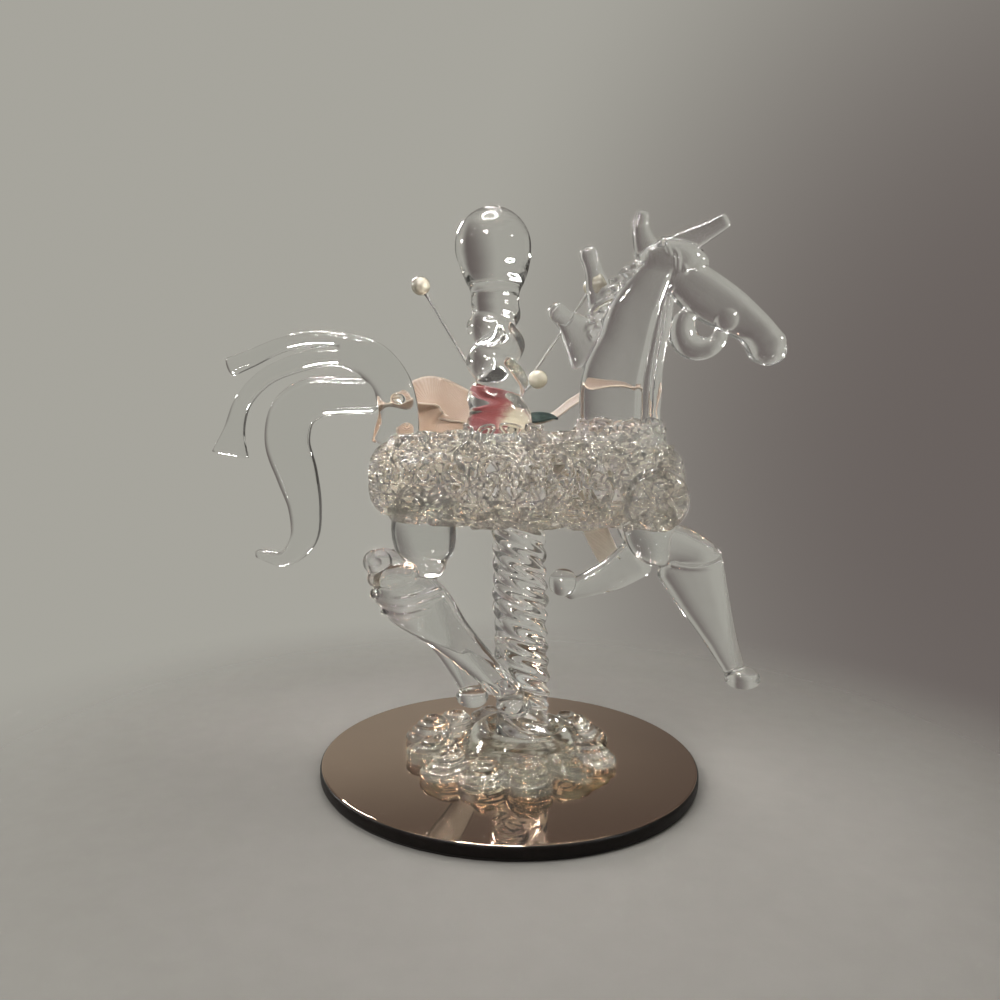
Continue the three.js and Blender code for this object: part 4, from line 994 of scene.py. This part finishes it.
left_loop = [(-2.9, 8.9, 55.2, 3.6), (-6.6, 8.8, 53.4, 6.2), (-11.8, 8.7, 53.8, 8.6),
             (-15.6, 9.0, 55.4, 9.4), (-17.2, 10.6, 58.6, 9.8), (-15.4, 12.0, 61.4, 9.8),
             (-9.6, 12.0, 60.0, 8.6), (-3.2, 10.4, 56.8, 3.6)]
left_lean = [(0, 0.15, 1)] * 4 + [(0, 0.4, 0.9)] + [(0, 0.62, 0.78)] * 3
right_loop = [(0.4, 10.2, 56.7, 4.2), (6.4, 11.2, 58.0, 6.8), (11.0, 11.8, 61.2, 9.2),
              (16.0, 11.9, 63.8, 9.8), (20.9, 11.9, 63.2, 9.8), (22.2, 11.9, 59.6, 9.8),
              (16.4, 11.8, 55.5, 9.6), (8.2, 11.2, 55.2, 7.4), (0.4, 10.2, 55.1, 4.2)]
ribbon("bow_loop_left", left_loop, left_lean, peach, "peach_satin", "bow_left_loop", "gathered", wave=0.25)
ribbon("bow_loop_right", right_loop, (0, 0.98, 0.19), peach, "peach_satin", "bow_right_loop", "gathered")

# %% Tails of ribbon
shoulder_tail = [(-0.6, 8.0, 55.6, 3.4), (5.6, 8.6, 51.4, 6.0), (10.6, 9.0, 45.2, 7.0),
                 (14.2, 9.0, 38.6, 6.2), (17.2, 8.8, 32.6, 4.8)]
rump_tail = [(-2.6, 8.0, 55.4, 3.6), (-8.6, 8.3, 52.2, 7.4), (-15.0, 8.4, 49.0, 8.8), (-19.8, 8.3, 46.6, 9.0),
             (-23.0, 8.0, 45.0, 9.0)]
ribbon("bow_tail_shoulder", shoulder_tail, (-0.6, 0.75, -0.3), cream, "cream_satin", "bow_shoulder_tail",
       "hung", cup=0.9, wave=0.2)
ribbon("bow_tail_rump", rump_tail, (-0.45, 0, 0.9), cream, "cream_satin", "bow_rump_tail",
       "laid", cup=0.3, wave=0.25)

# %% Knot
knot_at = np.array([foot_x, 7.7, 56.2])
knot_turns = [(-2.2, -0.1, 1.3, 2.6), (-0.9, 0, 1.6, 3.4), (0.9, 0, 1.6, 3.4), (2.2, -0.1, 1.3, 2.6)]


def knot_relief(angle, t):
    return 1 + 0.09 * np.cos(5 * angle + 1.2 * np.sin(6 * t))


knot_rows = [(*(knot_at + (x, 0, z)), wide, deep) for x, z, wide, deep in knot_turns]
knot = shaped("bow_knot_tied", rod(knot_rows, 30, 40, relief=knot_relief))
knot_piece = dress("bow_knot_tied", knot, peach, ["bow_knot"])

# %% [markdown]
# ## Rose, leaf and pearls
# A ribbon rose is one strip wound on itself, loose at the rim, where its front hangs over the knot. It is
# red on one side and cream on the other, and shows through the glass of the pole's foot as a bright patch.
# A dark leaf of stiff cloth and three pearls on wires complete the spray.

# %% Ribbon rose
def rose_finish():
    petal = new_finish("rose_satin")
    at = petal.place()
    blotch = petal.noise(at, 0.0012, 3)
    half = petal.ramp(petal.axis(at, "X") + (blotch - 0.5) * 0.0012, -0.0026, -0.002)
    red = petal.mixed(blotch, color(0.14, 0.008, 0.01), color(0.22, 0.028, 0.028))
    pale_side = petal.mixed(blotch, color(0.38, 0.32, 0.22), color(0.46, 0.41, 0.32))
    weave = petal.noise(at, 0.0003, 2)
    return petal.principled({
        "Base Color": petal.mixed(half, red, pale_side),
        "Roughness": 0.4 + weave * 0.2,
        "Sheen Weight": 0.3,
        "Normal": petal.bump(weave, 0.25, 0.0002)})


rose_at = np.array([foot_x, 8.78, 58.7])
rose_turns = 3.1
skirt_start = 4 * math.pi
spiral = []
for t in np.linspace(0, 1, 60):
    turn = 2 * math.pi * rose_turns * t
    radius = 0.7 + 2.75 * t
    skirt = max(0, -math.sin(turn)) if turn > skirt_start else 0
    spiral.append((rose_at[0] + radius * math.cos(turn), rose_at[1] + radius * math.sin(turn),
                   rose_at[2] + 0.3 * (1 - t) - 1.2 * skirt, 3.8 - 0.4 * t + 1.8 * skirt))
rose_mesh, rose_length = strip("rose_wound", spiral, (0, 0, 1), cup=0.25, wave=0.12, count=220, columns=8)
rose = dress("rose_wound", rose_mesh, rose_finish(), ["ribbon_rose"])
thicken(rose, cloth_thickness)
declare(rose, rose_length)


# %% Leaf
def leaf_finish():
    blade = new_finish("leaf_cloth")
    at = blade.place("UV")
    veins = blade.node("TexWave", {"bands_direction": "DIAGONAL"},
                       {"Vector": at, "Scale": 300, "Distortion": 1.0})
    blotch = blade.noise(blade.place(), 0.001, 3)
    green = blade.mixed(blotch, color(0.008, 0.016, 0.014), color(0.018, 0.036, 0.03))
    return blade.principled({
        "Base Color": blade.mixed(veins * 0.3, green, color(0.03, 0.052, 0.045)),
        "Roughness": 0.5 + blotch * 0.2,
        "Specular IOR Level": 0.2,
        "Normal": blade.bump(veins + blotch, 0.3, 0.0002)})


leaf_rows = [(0.4, 6.9, 57.3, 0.6), (2.2, 6.85, 57.6, 2.2), (4.2, 6.75, 57.8, 2.8), (6.2, 6.6, 57.9, 1.9),
             (7.5, 6.5, 57.7, 0.3)]
leaf_mesh, leaf_length = strip("leaf_cut", leaf_rows, (0.0, 0.75, 0.66), cup=0.35, wave=0.1,
                               count=40, columns=10)
leaf_thickness = 0.00025
leaf = dress("leaf_cut", leaf_mesh, leaf_finish(), ["leaf"])
thicken(leaf, leaf_thickness)
print("leaf length:", round(leaf_length * per_metre, 1), "mm")


# %% Pearls and stems
def pearl_finish():
    nacre = new_finish("pearl_nacre")
    # The rim of each pearl turns darker and olive as it turns away from the eye: a painted shade at the edge,
    # together with the olive tint of nacre.
    rim_shade_and_tint = nacre.node("LayerWeight", {}, {"Blend": 0.35}, out="Facing")
    blotch = nacre.noise(nacre.place(), 0.0012, 3)
    core = nacre.mixed(blotch, color(0.58, 0.53, 0.41), color(0.7, 0.65, 0.54))
    return nacre.principled({
        "Base Color": nacre.mixed(rim_shade_and_tint * 0.6, core, color(0.36, 0.32, 0.2)),
        "Roughness": 0.2 + blotch * 0.1,
        "Coat Weight": 0.8,
        "Coat Roughness": 0.06})


def wire_finish():
    wire = new_finish("stem_wire")
    drawn = wire.node("VectorMath", {"operation": "MULTIPLY"}, {0: wire.place(), 1: (1, 1, 0.2)})
    grain = wire.noise(drawn, 0.0006, 2)
    return wire.principled({
        "Base Color": wire.mixed(grain, color(0.36, 0.35, 0.33), color(0.48, 0.47, 0.45)),
        "Roughness": 0.3 + grain * 0.15})


pearl_coat = pearl_finish()
stem_coat = wire_finish()
pearl_radii = (1.63, 1.63, 1.6)
stem_low = 62.0
stem_steps = 24
stem_width = np.interp(np.linspace(0, 1, stem_steps), [0, 0.06, 0.95, 1], [0.62, 0.42, 0.42, 0.7])
spray = [(-3.55, -11.4, 18.4, 8.78), (2.81, 2.7, 2.4, 6.56), (2.22, 12.7, 19.1, 11.0)]
for number, (foot, reach, rise, y) in enumerate(spray, 1):
    low = np.array([foot_x + foot, y, stem_low])
    pearl_at = low + (reach, 0, rise)
    length = np.linalg.norm(pearl_at - low)
    pull = (pearl_at - low) / length
    stem_line = [low + pull * s for s in np.linspace(-0.6, length - 1.4, stem_steps)]
    stem = shaped(f"spray_stem_{number}", thread(stem_line, stem_width, 12))
    dress(f"spray_stem_{number}", stem, stem_coat, [f"pearl_stem_{number}"])
    pearl = shaped(f"spray_pearl_{number}", ball(pearl_at, pearl_radii, 40))
    dress(f"spray_pearl_{number}", pearl, pearl_coat, [f"pearl_{number}"])

# %% [markdown]
# ## Last step
# The underside of a mirror is painted to protect the silver. That solid keeps its shape and only gets the
# paint.

# %% Backing and finish
def backing_finish():
    coat = new_finish("backing_paint")
    speck = coat.noise(coat.place(), 0.0015, 4)
    return coat.principled({
        "Base Color": coat.mixed(speck, color(0.02, 0.016, 0.015), color(0.05, 0.04, 0.038)),
        "Roughness": 0.6 + speck * 0.2})


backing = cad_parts["mirror_backing"]
backing.data.materials.clear()
backing.data.materials.append(backing_finish())
print(backing.name, "painted")
